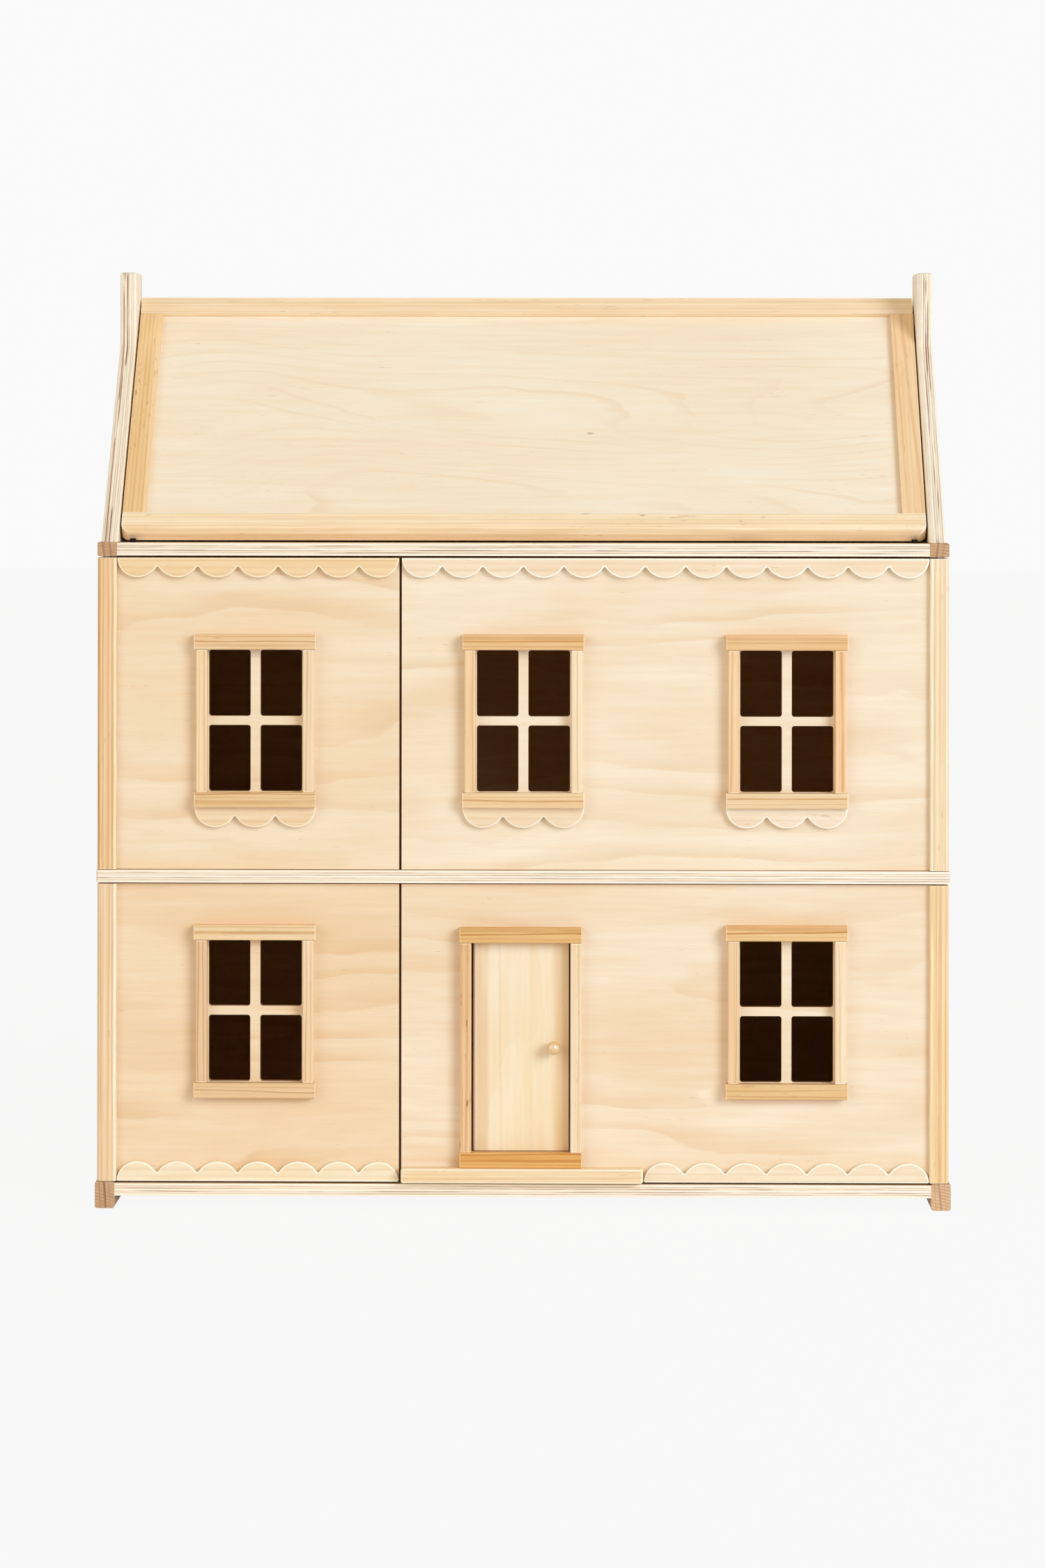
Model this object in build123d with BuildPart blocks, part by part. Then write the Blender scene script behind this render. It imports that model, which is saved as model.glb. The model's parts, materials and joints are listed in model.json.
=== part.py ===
from build123d import *
from math import cos, radians, sin, sqrt, tan
import os

# Wooden dollhouse: two storeys behind four hinged front panels, a front door that opens, and a roof
# panel that folds back over the fixed back roof. Lengths are in millimetres. The front faces -Y,
# +Z is up, and the origin is at the bottom centre of the closed house.

os.makedirs("parts", exist_ok=True)

# House
room_width = 583.0            # between the side walls
house_depth = 350.0           # from the front faces of the posts to the back of the back panel
lower_room_height = 215.8
upper_room_height = 225.7

# Boards
side_ply = 12.0
floor_ply = 9.0
panel_ply = 6.0
partition_ply = 9.0
back_ply = 4.0
back_roof_ply = 9.0
floor_lip = 0.7               # middle floor past the outer faces of the posts
floor_corner = 1.5

# Feet, posts and battens
post_size = 14.0
post_round = 2.5
foot_height = 19.0
foot_round = 1.5
foot_step = 1.0               # top of the base board below the top of the feet
foot_spread = 1.5             # feet further out than the posts
batten_height = 10.0
batten_round = 1.0
batten_drop = 0.5             # batten below the underside of the attic floor

# Front panels
split_x = -87.9               # middle of the gap between the left and the right panels
split_gap = 1.7
swing_gap = 1.0               # above each turning post
collar_gap = 0.4              # below each turning post
wall_gap = 0.35               # between the turning post's corners and the side wall
panel_setback = 4.5           # panel face behind the front faces of the posts
panel_tongue = 4.0            # panel edge let into the post
stop_gap = 0.4                # closed panel to the partition behind it

# Scalloped strips
scallop_pitch = 29.1
scallop_height = 14.4
cusp_height = 5.6
cusp_round = 1.1
scallop_thickness = 4.5

# Windows
left_window_x = -192.1
middle_window_x = 0.4
right_window_x = 189.4
upper_window_rise = 107.2     # window centre above the middle floor
lower_window_rise = 123.8     # window centre above the base board
pane_width = 29.9
pane_height = 47.5
pane_round = 2.0
muntin_width = 7.1
muntin_height = 6.5

# Heads, sills and jambs
strip_height = 11.0
strip_thickness = 9.0
jamb_width = 8.0
jamb_thickness = 8.0
strip_round = 1.0
window_overhang = 1.5         # head and sill past the outer faces of the window jambs
door_overhang = 0.4           # head and sill past the outer faces of the door jambs
pane_reveal = 0.8             # sheet that shows between a pane and its jamb
sill_reveal = 0.4             # sheet that shows between a pane and its head or sill

# Front door
door_x = -1.2
leaf_width = 68.8
leaf_height = 149.2
leaf_side_gap = 1.1
leaf_end_gap = 0.5
step_length = 173.5
step_height = 10.6
step_thickness = 12.0
step_round = 2.0
step_joint = 0.5              # step board to the skirting beside it
door_pin_radius = 1.0
door_pin_depth = 7.0
knob_radius = 5.0
knob_neck_radius = 2.5
knob_neck_length = 3.2
knob_tenon_radius = 2.0
knob_tenon_length = 4.0
knob_inset = 11.0             # knob centre from the leaf's free edge

# Roof
roof_pitch = 45.0
roof_thickness = 12.0
roof_side_gap = 1.2
frame_width = 17.0
nose_round = 5.5
frame_corner = 6.0
frame_round = 1.0
infill_ply = 5.0
infill_sink = 4.0             # infill below the face of the frame
infill_tongue = 4.0
eave_gap = 1.0                # closed roof above the attic floor
tail_gap = 0.3                # turning top rail to the back roof
ridge_width = 18.0
ridge_thickness = 14.0
bumper_radius = 2.2
bumper_height = 2.8
bumper_inset = 8.5            # from the end of the roof panel
bumper_gap = 0.3              # closed roof to the bumpers

# Gables
gable_toe = 6.6               # foot of the slope behind the front faces of the posts
chimney_depth = 50.0
chimney_rise = 54.6
chimney_round = 2.5
gable_round = 2.0             # along both faces, except where the gable stands on the batten

# Pins and dowels
pin_radius = 1.5
pin_reach = 12.0              # pin inside a post
foot_pin_depth = 9.5
batten_pin_depth = 8.0
collar_radius = 3.5
roof_pin_radius = 2.0
roof_pin_reach = 15.0
gable_pin_depth = 8.0
dowel_radius = 3.0
dowel_reach = 12.0            # dowel inside each wall
dowel_inset = 40.0
floor_dowel_radius = 2.0
floor_dowel_reach = 9.0
floor_dowel_inset = 80.0
fixed_clearance = 0.02
running_clearance = 0.05
end_clearance = 0.5

# Heights
base_top = foot_height - foot_step
base_bottom = base_top - floor_ply
middle_bottom = base_top + lower_room_height
middle_top = middle_bottom + floor_ply
attic_bottom = middle_top + upper_room_height
attic_top = attic_bottom + floor_ply
batten_bottom = attic_bottom - batten_drop
batten_top = batten_bottom + batten_height

# Depths
knob_tip = knob_neck_length + sqrt(knob_radius**2 - knob_neck_radius**2) + knob_radius
front_reach = max(knob_tip, step_thickness, strip_thickness) - panel_setback
front_y = (front_reach - house_depth) / 2
back_y = front_y + house_depth
ridge_y = front_y + house_depth / 2
frame_back_y = back_y - back_ply
pivot_y = front_y + post_size / 2
post_sweep = sqrt(2) * (post_size / 2 - post_round) + post_round
wall_front_y = pivot_y + post_sweep + wall_gap
panel_face_y = front_y + panel_setback
panel_back_y = panel_face_y + panel_ply
panel_middle_y = panel_face_y + panel_ply / 2

# Widths
wall_x = room_width / 2
wall_middle_x = wall_x + side_ply / 2
pivot_x = wall_x + post_size / 2
post_outer_x = wall_x + post_size
foot_x = pivot_x + foot_spread
base_half = wall_x + foot_spread
sides = {"left": -1, "right": 1}

# Front panels: name, side of the house, bottom, top
lower_panel_z = (foot_height + collar_gap, middle_bottom - swing_gap)
upper_panel_z = (middle_top + collar_gap, batten_bottom - swing_gap)
panel_heights = {"lower": lower_panel_z, "upper": upper_panel_z}
split_edges = {"left": split_x - split_gap / 2, "right": split_x + split_gap / 2}

# Windows: storey and x position
lower_window_z = base_top + lower_window_rise
upper_window_z = middle_top + upper_window_rise
windows = {
    "upper_left": (left_window_x, upper_window_z),
    "upper_middle": (middle_window_x, upper_window_z),
    "upper_right": (right_window_x, upper_window_z),
    "lower_left": (left_window_x, lower_window_z),
    "lower_right": (right_window_x, lower_window_z),
}
panel_windows = {
    "upper_left": ["upper_left"],
    "upper_right": ["upper_middle", "upper_right"],
    "lower_left": ["lower_left"],
    "lower_right": ["lower_right"],
}
panes_height = 2 * pane_height + muntin_height
panes_half_width = pane_width + muntin_width / 2
window_jamb_inner = panes_half_width + pane_reveal
window_strip_half = window_jamb_inner + jamb_width + window_overhang

# Door
step_top = lower_panel_z[0] + step_height
leaf_bottom = step_top + strip_height + leaf_end_gap
leaf_top = leaf_bottom + leaf_height
leaf_left_x = door_x - leaf_width / 2
leaf_right_x = door_x + leaf_width / 2
door_hinge_x = leaf_left_x + panel_ply / 2
door_jamb_inner = leaf_width / 2 + leaf_side_gap
door_strip_half = door_jamb_inner + jamb_width + door_overhang

# Roof slopes
pitch = radians(roof_pitch)
ridge_z = batten_top + (house_depth / 2 - gable_toe) * tan(pitch)
eave_u = (attic_top + eave_gap + roof_thickness * cos(pitch) - ridge_z) / sin(pitch)
roof_half = wall_x - roof_side_gap
roof_pivot_y = ridge_y + frame_width / 2 * cos(pitch) + roof_thickness / 2 * sin(pitch)
roof_pivot_z = ridge_z + frame_width / 2 * sin(pitch) - roof_thickness / 2 * cos(pitch)


def save(piece, name):
    piece.part.label = name
    export_step(piece.part, f"parts/{name}.step")


def mouths(points, direction):
    # Planes at the mouths of drilled holes, facing out of the holes.
    return [Plane(origin=point, z_dir=direction) for point in points]


def front_plane(y):
    # Upright plane that faces the front, with house x and z as its own x and y.
    return Plane(origin=(0, y, 0), x_dir=(1, 0, 0), z_dir=(0, -1, 0))


def side_plane(x):
    # Upright plane that faces +X, with house y and z as its own x and y.
    return Plane(origin=(x, 0, 0), x_dir=(0, 1, 0), z_dir=(1, 0, 0))


def board(x_range, y_range, z_range, drillings=(), corner=0.0):
    # Plain board between three pairs of coordinates, with drillings (mouths, radius, depth).
    with BuildPart() as piece:
        with BuildSketch(Plane.XY.offset(z_range[0])) as outline:
            with Locations((sum(x_range) / 2, sum(y_range) / 2)):
                Rectangle(x_range[1] - x_range[0], y_range[1] - y_range[0])
            if corner:
                fillet(outline.vertices(), corner)
        extrude(amount=z_range[1] - z_range[0])
        for hole_mouths, radius, depth in drillings:
            with BuildSketch(*hole_mouths):
                Circle(radius)
            extrude(amount=-depth, mode=Mode.SUBTRACT)
    return piece


def rod(centres, radius, length):
    # Round rods that start on the given planes.
    with BuildPart() as piece:
        with BuildSketch(*centres):
            Circle(radius)
        extrude(amount=length)
    return piece


# Places of the upright dowels in the side walls and of the level dowels in the floors' ends
dowel_ys = (wall_front_y + dowel_inset, frame_back_y - dowel_inset)
floor_dowel_ys = (front_y + floor_dowel_inset, frame_back_y - floor_dowel_inset)
dowel_hole = dowel_radius + fixed_clearance
dowel_hole_depth = dowel_reach + end_clearance
floor_dowel_hole = floor_dowel_radius + fixed_clearance
floor_dowel_depth = floor_dowel_reach + end_clearance
base_middle = base_top - floor_ply / 2
attic_middle = attic_top - floor_ply / 2


def wall_dowel_points(z, side):
    return [(sides[side] * wall_middle_x, y, z) for y in dowel_ys]


def floor_dowel_points(x, z, side):
    return [(sides[side] * x, y, z) for y in floor_dowel_ys]


# Feet: two solid runners from front to back
for side, sign in sides.items():
    with BuildPart() as foot:
        with BuildSketch(Plane.XZ.offset(-frame_back_y)) as section:
            with Locations((sign * foot_x, foot_height / 2)):
                RectangleRounded(post_size, foot_height, foot_round)
        extrude(amount=frame_back_y - front_y)
        with BuildSketch(*mouths(wall_dowel_points(foot_height, side), (0, 0, 1))):
            Circle(dowel_hole)
        extrude(amount=-dowel_hole_depth, mode=Mode.SUBTRACT)
        with BuildSketch(*mouths([(sign * pivot_x, pivot_y, foot_height)], (0, 0, 1))):
            Circle(pin_radius + fixed_clearance)
        extrude(amount=-foot_pin_depth, mode=Mode.SUBTRACT)
        with BuildSketch(*mouths(floor_dowel_points(base_half, base_middle, side), (-sign, 0, 0))):
            Circle(floor_dowel_hole)
        extrude(amount=-floor_dowel_depth, mode=Mode.SUBTRACT)
    save(foot, f"{side}_foot")

# Battens at the ends of the attic floor
for side, sign in sides.items():
    with BuildPart() as batten:
        with BuildSketch(Plane.XZ.offset(-frame_back_y)):
            with Locations((sign * pivot_x, (batten_bottom + batten_top) / 2)):
                RectangleRounded(post_size, batten_height, batten_round)
        extrude(amount=frame_back_y - front_y)
        with BuildSketch(*mouths(wall_dowel_points(batten_top, side), (0, 0, 1))):
            Circle(dowel_hole)
        extrude(amount=-batten_height, mode=Mode.SUBTRACT)
        with BuildSketch(*mouths([(sign * pivot_x, pivot_y, batten_bottom)], (0, 0, -1))):
            Circle(pin_radius + fixed_clearance)
        extrude(amount=-(batten_pin_depth + end_clearance), mode=Mode.SUBTRACT)
        with BuildSketch(*mouths(floor_dowel_points(wall_x, attic_middle, side), (-sign, 0, 0))):
            Circle(floor_dowel_hole)
        extrude(amount=-floor_dowel_depth, mode=Mode.SUBTRACT)
    save(batten, f"{side}_attic_batten")

# Floors: name, half width, bottom, top
end_floors = {
    "base_board": (base_half, base_bottom, base_top),
    "attic_floor": (wall_x, attic_bottom, attic_top),
}
for name, (half, bottom, top) in end_floors.items():
    z = (bottom + top) / 2
    end_holes = [
        (mouths(floor_dowel_points(half, z, "left"), (-1, 0, 0)), floor_dowel_hole, floor_dowel_depth),
        (mouths(floor_dowel_points(half, z, "right"), (1, 0, 0)), floor_dowel_hole, floor_dowel_depth),
    ]
    save(board((-half, half), (front_y, frame_back_y), (bottom, top), end_holes), name)

floor_half = post_outer_x + floor_lip
pin_points = [(sign * pivot_x, pivot_y, middle_top) for sign in sides.values()]
middle_dowels = wall_dowel_points(middle_top, "left") + wall_dowel_points(middle_top, "right")
middle_holes = [
    (mouths(middle_dowels, (0, 0, 1)), dowel_hole, floor_ply),
    (mouths(pin_points, (0, 0, 1)), pin_radius + fixed_clearance, floor_ply),
]
middle_floor = board((-floor_half, floor_half), (front_y, frame_back_y), (middle_bottom, middle_top),
                     middle_holes, corner=floor_corner)
save(middle_floor, "middle_floor")

# Side walls, set back behind the sweep of the posts
wall_heights = {"lower": (foot_height, middle_bottom), "upper": (middle_top, batten_bottom)}
for storey, (bottom, top) in wall_heights.items():
    for side, sign in sides.items():
        x_range = sorted((sign * wall_x, sign * (wall_x + side_ply)))
        holes = [
            (mouths(wall_dowel_points(bottom, side), (0, 0, -1)), dowel_hole, dowel_hole_depth),
            (mouths(wall_dowel_points(top, side), (0, 0, 1)), dowel_hole, dowel_hole_depth),
        ]
        wall = board(x_range, (wall_front_y, frame_back_y), (bottom, top), holes)
        save(wall, f"{storey}_{side}_side_wall")

# Partitions, which the closed front panels rest against
partition_x = (split_x - partition_ply / 2, split_x + partition_ply / 2)
partition_y = (panel_back_y + stop_gap, frame_back_y)
save(board(partition_x, partition_y, (base_top, middle_bottom)), "lower_partition")
save(board(partition_x, partition_y, (middle_top, attic_bottom)), "upper_partition")

# Back panel, laid over the back edges of walls and floors
outer_wall_x = wall_x + side_ply
back_panel = board((-outer_wall_x, outer_wall_x), (frame_back_y, back_y), (base_bottom, batten_top))
save(back_panel, "back_panel")

# Gables with their chimney-like peaks
chimney_front = (ridge_y - chimney_depth / 2, ridge_z - chimney_depth / 2 * tan(pitch))
chimney_back = (ridge_y + chimney_depth / 2, chimney_front[1])
chimney_top = chimney_front[1] + chimney_rise
for side, sign in sides.items():
    gable_start = min(sign * wall_x, sign * outer_wall_x)
    with BuildPart() as gable:
        with BuildSketch(side_plane(gable_start)) as outline:
            with BuildLine():
                Polyline(
                    (front_y + gable_toe, batten_top),
                    chimney_front,
                    (chimney_front[0], chimney_top),
                    (chimney_back[0], chimney_top),
                    chimney_back,
                    (back_y - gable_toe, batten_top),
                    close=True,
                )
            make_face()
            fillet(outline.vertices().group_by(Axis.Y)[-1], chimney_round)
        extrude(amount=side_ply)
        arrises = gable.edges().filter_by(Plane.YZ).filter_by(lambda edge: edge.center().Z > batten_top + 1)
        fillet(arrises, gable_round)
        with BuildSketch(*mouths(wall_dowel_points(batten_top, side), (0, 0, -1))):
            Circle(dowel_hole)
        extrude(amount=-dowel_hole_depth, mode=Mode.SUBTRACT)
        with BuildSketch(*mouths([(sign * wall_x, roof_pivot_y, roof_pivot_z)], (-sign, 0, 0))):
            Circle(roof_pin_radius + fixed_clearance)
        extrude(amount=-(gable_pin_depth + end_clearance), mode=Mode.SUBTRACT)
    save(gable, f"{side}_gable")

# Dowels that join the walls to the feet, floor, battens and gables
with BuildPart() as wall_dowels:
    for side in sides:
        for bottom, gap in ((foot_height, 0), (middle_bottom, floor_ply), (batten_bottom, batten_height)):
            with BuildSketch(*mouths(wall_dowel_points(bottom - dowel_reach, side), (0, 0, 1))):
                Circle(dowel_radius)
            extrude(amount=gap + 2 * dowel_reach)
save(wall_dowels, "wall_dowels")

# Dowels that join the base board to the feet and the attic floor to the battens
with BuildPart() as floor_dowels:
    for side, sign in sides.items():
        for x, z in ((base_half, base_middle), (wall_x, attic_middle)):
            with BuildSketch(*mouths(floor_dowel_points(x, z, side), (1, 0, 0))):
                Circle(floor_dowel_radius)
            extrude(amount=floor_dowel_reach, both=True)
save(floor_dowels, "floor_dowels")

# Steel pins that the posts turn on, each with a collar that carries the post above it
collar_height = collar_gap - running_clearance
pin_spans = (
    (foot_height - foot_pin_depth, lower_panel_z[0] + pin_reach),
    (lower_panel_z[1] - pin_reach, upper_panel_z[0] + pin_reach),
    (upper_panel_z[1] - pin_reach, batten_bottom + batten_pin_depth),
)
with BuildPart() as front_pivot_pins:
    for bottom, top in pin_spans:
        with BuildSketch(Plane.XY.offset(bottom)):
            with Locations((-pivot_x, pivot_y), (pivot_x, pivot_y)):
                Circle(pin_radius)
        extrude(amount=top - bottom)
    for bottom in (foot_height, middle_top):
        with BuildSketch(Plane.XY.offset(bottom)):
            with Locations((-pivot_x, pivot_y), (pivot_x, pivot_y)):
                Circle(collar_radius)
        extrude(amount=collar_height)
save(front_pivot_pins, "front_pivot_pins")

# Posts: rounded square stock, grooved for the panel and bored at both ends for the pins
post_hole = pin_radius + running_clearance
groove_depth = panel_tongue + fixed_clearance
for storey, (bottom, top) in panel_heights.items():
    for side, sign in sides.items():
        with BuildPart() as post:
            with BuildSketch(Plane.XY.offset(bottom)):
                with Locations((sign * pivot_x, pivot_y)):
                    RectangleRounded(post_size, post_size, post_round)
                with Locations((sign * (wall_x + groove_depth / 2), panel_middle_y)):
                    Rectangle(groove_depth, panel_ply + 2 * fixed_clearance, mode=Mode.SUBTRACT)
            extrude(amount=top - bottom)
            with BuildSketch(*mouths([(sign * pivot_x, pivot_y, bottom)], (0, 0, -1)),
                             *mouths([(sign * pivot_x, pivot_y, top)], (0, 0, 1))):
                Circle(post_hole)
            extrude(amount=-(pin_reach + end_clearance), mode=Mode.SUBTRACT)
        save(post, f"{storey}_{side}_post")

# Front panels with their milled panes; the lower right one also has the doorway
doorway_bottom = leaf_bottom - leaf_end_gap
doorway_top = leaf_top + leaf_end_gap
for storey, (bottom, top) in panel_heights.items():
    for side, sign in sides.items():
        name = f"{storey}_{side}"
        outer_x = sign * (wall_x + panel_tongue)
        width = abs(outer_x - split_edges[side])
        with BuildPart() as panel:
            with BuildSketch(front_plane(panel_back_y)):
                with Locations(((outer_x + split_edges[side]) / 2, (bottom + top) / 2)):
                    Rectangle(width, top - bottom)
                with Locations(*[windows[window] for window in panel_windows[name]]):
                    with GridLocations(pane_width + muntin_width, pane_height + muntin_height, 2, 2):
                        RectangleRounded(pane_width, pane_height, pane_round, mode=Mode.SUBTRACT)
                if name == "lower_right":
                    with Locations((door_x, (doorway_bottom + doorway_top) / 2)):
                        Rectangle(2 * door_jamb_inner, doorway_top - doorway_bottom, mode=Mode.SUBTRACT)
            extrude(amount=panel_ply)
            if name == "lower_right":
                pin_seats = (mouths([(door_hinge_x, panel_middle_y, doorway_top)], (0, 0, -1))
                             + mouths([(door_hinge_x, panel_middle_y, doorway_bottom)], (0, 0, 1)))
                with BuildSketch(*pin_seats):
                    Circle(door_pin_radius + fixed_clearance)
                extrude(amount=-(door_pin_depth + end_clearance), mode=Mode.SUBTRACT)
        save(panel, f"{name}_panel")


def scalloped_strip(start_x, end_x, straight_z, hanging):
    # Strip with equal lobes along one edge, quarter-round at its ends and eased between the lobes.
    length = end_x - start_x
    lobes = max(1, round(length / scallop_pitch))
    pitch_x = length / lobes
    y = panel_face_y - scallop_thickness if hanging else panel_face_y
    normal = (0, 1, 0) if hanging else (0, -1, 0)
    with BuildPart() as strip:
        plane = Plane(origin=(start_x, y, straight_z), x_dir=(1, 0, 0), z_dir=normal)
        with BuildSketch(plane) as outline:
            with BuildLine():
                Line((0, 0), (length, 0))
                for lobe in range(lobes):
                    peak = ((lobe + 0.5) * pitch_x, scallop_height)
                    start = (0, 0) if lobe == 0 else (lobe * pitch_x, cusp_height)
                    end = (length, 0) if lobe == lobes - 1 else ((lobe + 1) * pitch_x, cusp_height)
                    TangentArc(peak, start, tangent=(-1, 0))
                    TangentArc(peak, end, tangent=(1, 0))
            make_face()
            cusps = outline.vertices().filter_by_position(Axis.Y, cusp_height - 0.1, cusp_height + 0.1)
            if cusps:
                fillet(cusps, cusp_round)
        extrude(amount=scallop_thickness)
    return strip


# Scalloped friezes and skirtings, and the step board that takes the skirting's place at the door
step_end_x = split_edges["right"] + step_length
upper_edge = upper_panel_z[1]
lower_edge = lower_panel_z[0]
save(scalloped_strip(-wall_x, split_edges["left"], upper_edge, True), "upper_left_scalloped_frieze")
save(scalloped_strip(split_edges["right"], wall_x, upper_edge, True), "upper_right_scalloped_frieze")
save(scalloped_strip(-wall_x, split_edges["left"], lower_edge, False), "lower_left_scalloped_skirting")
save(scalloped_strip(step_end_x + step_joint, wall_x, lower_edge, False), "lower_right_scalloped_skirting")

with BuildPart() as step_board:
    with BuildSketch(front_plane(panel_face_y)) as outline:
        with Locations((step_end_x - step_length / 2, lower_edge + step_height / 2)):
            Rectangle(step_length, step_height)
        fillet(outline.vertices().group_by(Axis.X)[-1].sort_by(Axis.Y)[0], step_round)
    extrude(amount=step_thickness)
save(step_board, "step_board")


def level_strips(x, half_length, bottoms):
    # Strips of head and sill stock, centred on x, with their undersides at the given heights.
    planes = [Plane(origin=(x - half_length, panel_face_y, bottom + strip_height / 2),
                    x_dir=(0, 0, 1), z_dir=(1, 0, 0)) for bottom in bottoms]
    with BuildPart() as strips:
        with BuildSketch(*planes) as section:
            Rectangle(strip_height, strip_thickness, align=(Align.CENTER, Align.MIN))
            fillet(section.vertices().group_by(Axis.Y)[-1], strip_round)
        extrude(amount=2 * half_length)
    return strips


def jambs(x, inner_half_width, bottom, top):
    # Pair of upright strips either side of an opening centred on x.
    offset = inner_half_width + jamb_width / 2
    planes = [Plane(origin=(x + sign * offset, panel_face_y, bottom),
                    x_dir=(-1, 0, 0), z_dir=(0, 0, 1)) for sign in sides.values()]
    with BuildPart() as pair:
        with BuildSketch(*planes) as section:
            Rectangle(jamb_width, jamb_thickness, align=(Align.CENTER, Align.MIN))
            fillet(section.vertices().group_by(Axis.Y)[-1], strip_round)
        extrude(amount=top - bottom)
    return pair


# Window trim: head and sill, jambs, and an apron under each upper window
for name, (x, z) in windows.items():
    sill_top = z - panes_height / 2 - sill_reveal
    head_bottom = z + panes_height / 2 + sill_reveal
    sill_bottom = sill_top - strip_height
    save(level_strips(x, window_strip_half, (sill_bottom, head_bottom)), f"{name}_window_head_and_sill")
    save(jambs(x, window_jamb_inner, sill_top, head_bottom), f"{name}_window_jambs")
    if name.startswith("upper"):
        apron = scalloped_strip(x - window_strip_half, x + window_strip_half, sill_bottom, True)
        save(apron, f"{name}_window_apron")

# Door surround
save(level_strips(door_x, door_strip_half, (step_top, doorway_top)), "door_head_and_sill")
save(jambs(door_x, door_jamb_inner, doorway_bottom, doorway_top), "door_jambs")

# Door leaf, round along its hinge edge, bored for its pins and for the knob
knob_x = leaf_right_x - knob_inset
knob_z = (leaf_bottom + leaf_top) / 2
with BuildPart() as door_leaf:
    with BuildSketch(Plane.XY.offset(leaf_bottom)) as section:
        with Locations((door_x, panel_middle_y)):
            Rectangle(leaf_width - panel_ply, panel_ply)
        with Locations((door_hinge_x, panel_middle_y)):
            Circle(panel_ply / 2)
        with Locations((leaf_right_x - panel_ply / 2, panel_middle_y)):
            Rectangle(panel_ply, panel_ply)
    extrude(amount=leaf_height)
    with BuildSketch(*mouths([(door_hinge_x, panel_middle_y, leaf_top)], (0, 0, 1)),
                     *mouths([(door_hinge_x, panel_middle_y, leaf_bottom)], (0, 0, -1))):
        Circle(door_pin_radius + running_clearance)
    extrude(amount=-(door_pin_depth + end_clearance), mode=Mode.SUBTRACT)
    with BuildSketch(*mouths([(knob_x, panel_face_y, knob_z)], (0, -1, 0))):
        Circle(knob_tenon_radius + fixed_clearance)
    extrude(amount=-(knob_tenon_length + end_clearance), mode=Mode.SUBTRACT)
save(door_leaf, "door_leaf")

door_pin_length = 2 * door_pin_depth + leaf_end_gap
door_pin_bottoms = [(door_hinge_x, panel_middle_y, doorway_bottom - door_pin_depth),
                    (door_hinge_x, panel_middle_y, leaf_top - door_pin_depth)]
save(rod(mouths(door_pin_bottoms, (0, 0, 1)), door_pin_radius, door_pin_length), "door_pins")

# Knob: turned ball on a short neck, with a tenon that sits in the leaf
neck_meet = sqrt(knob_radius**2 - knob_neck_radius**2)
ball_centre = knob_neck_length + neck_meet
with BuildPart() as door_knob:
    # The profile's own x runs out from the leaf and its own y is the radius.
    profile_plane = Plane(origin=(knob_x, panel_face_y, knob_z), x_dir=(0, -1, 0), z_dir=(1, 0, 0))
    with BuildSketch(profile_plane):
        with BuildLine():
            Polyline(
                (knob_tip, 0),
                (-knob_tenon_length, 0),
                (-knob_tenon_length, knob_tenon_radius),
                (0, knob_tenon_radius),
                (0, knob_neck_radius),
                (knob_neck_length, knob_neck_radius),
            )
            ThreePointArc((knob_neck_length, knob_neck_radius), (ball_centre, knob_radius), (knob_tip, 0))
        make_face()
    revolve(axis=Axis((knob_x, panel_face_y, knob_z), (0, -1, 0)))
save(door_knob, "door_knob")

# Lifting roof panel: in the planes below, u runs up the slope from the ridge line and w stands out of it
up_slope = (0, cos(pitch), sin(pitch))
out_of_slope = (0, -sin(pitch), cos(pitch))
roof_face = Plane(origin=(0, ridge_y, ridge_z), x_dir=(1, 0, 0), z_dir=out_of_slope)
stile_bottom_u = eave_u + frame_width
groove = infill_tongue + fixed_clearance
groove_width = infill_ply + 2 * fixed_clearance
groove_floor_w = -(infill_sink + infill_ply + fixed_clearance)
infill_half = roof_half - frame_width + infill_tongue


def roof_section(x):
    # Plane across the roof, with u and w as its own x and y.
    return Plane(origin=(x, ridge_y, ridge_z), x_dir=up_slope, z_dir=(1, 0, 0))


with BuildPart() as top_rail:
    with BuildSketch(roof_section(-roof_half)) as section:
        Rectangle(frame_width, roof_thickness, align=(Align.MIN, Align.MAX))
        fillet(section.vertices().group_by(Axis.X)[-1], frame_round)
    extrude(amount=2 * roof_half)
    with BuildSketch(roof_face.offset(groove_floor_w)):
        Rectangle(2 * infill_half, 2 * groove)
    extrude(amount=groove_width, mode=Mode.SUBTRACT)
    with BuildSketch(*mouths([(-roof_half, roof_pivot_y, roof_pivot_z)], (-1, 0, 0)),
                     *mouths([(roof_half, roof_pivot_y, roof_pivot_z)], (1, 0, 0))):
        Circle(roof_pin_radius + running_clearance)
    extrude(amount=-(roof_pin_reach + end_clearance), mode=Mode.SUBTRACT)
save(top_rail, "roof_top_rail")

with BuildPart() as bottom_rail:
    with BuildSketch(roof_face.offset(-roof_thickness)) as outline:
        with Locations((0, eave_u + frame_width / 2)):
            Rectangle(2 * roof_half, frame_width)
        fillet(outline.vertices().group_by(Axis.Y)[0], frame_corner)
    extrude(amount=roof_thickness)
    with BuildSketch(roof_section(-roof_half)) as section:
        with Locations((eave_u, 0)):
            Rectangle(frame_width, roof_thickness, align=(Align.MIN, Align.MAX))
        eave_corners = section.vertices().group_by(Axis.X)[0].sort_by(Axis.Y)
        fillet(eave_corners[-1], nose_round)
        fillet(section.vertices().sort_by(Axis.Y)[0:2].sort_by(Axis.X)[0], frame_round)
    extrude(amount=2 * roof_half, mode=Mode.INTERSECT)
    with BuildSketch(roof_face.offset(groove_floor_w)):
        with Locations((0, stile_bottom_u)):
            Rectangle(2 * infill_half, 2 * groove)
    extrude(amount=groove_width, mode=Mode.SUBTRACT)
save(bottom_rail, "roof_bottom_rail")

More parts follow.
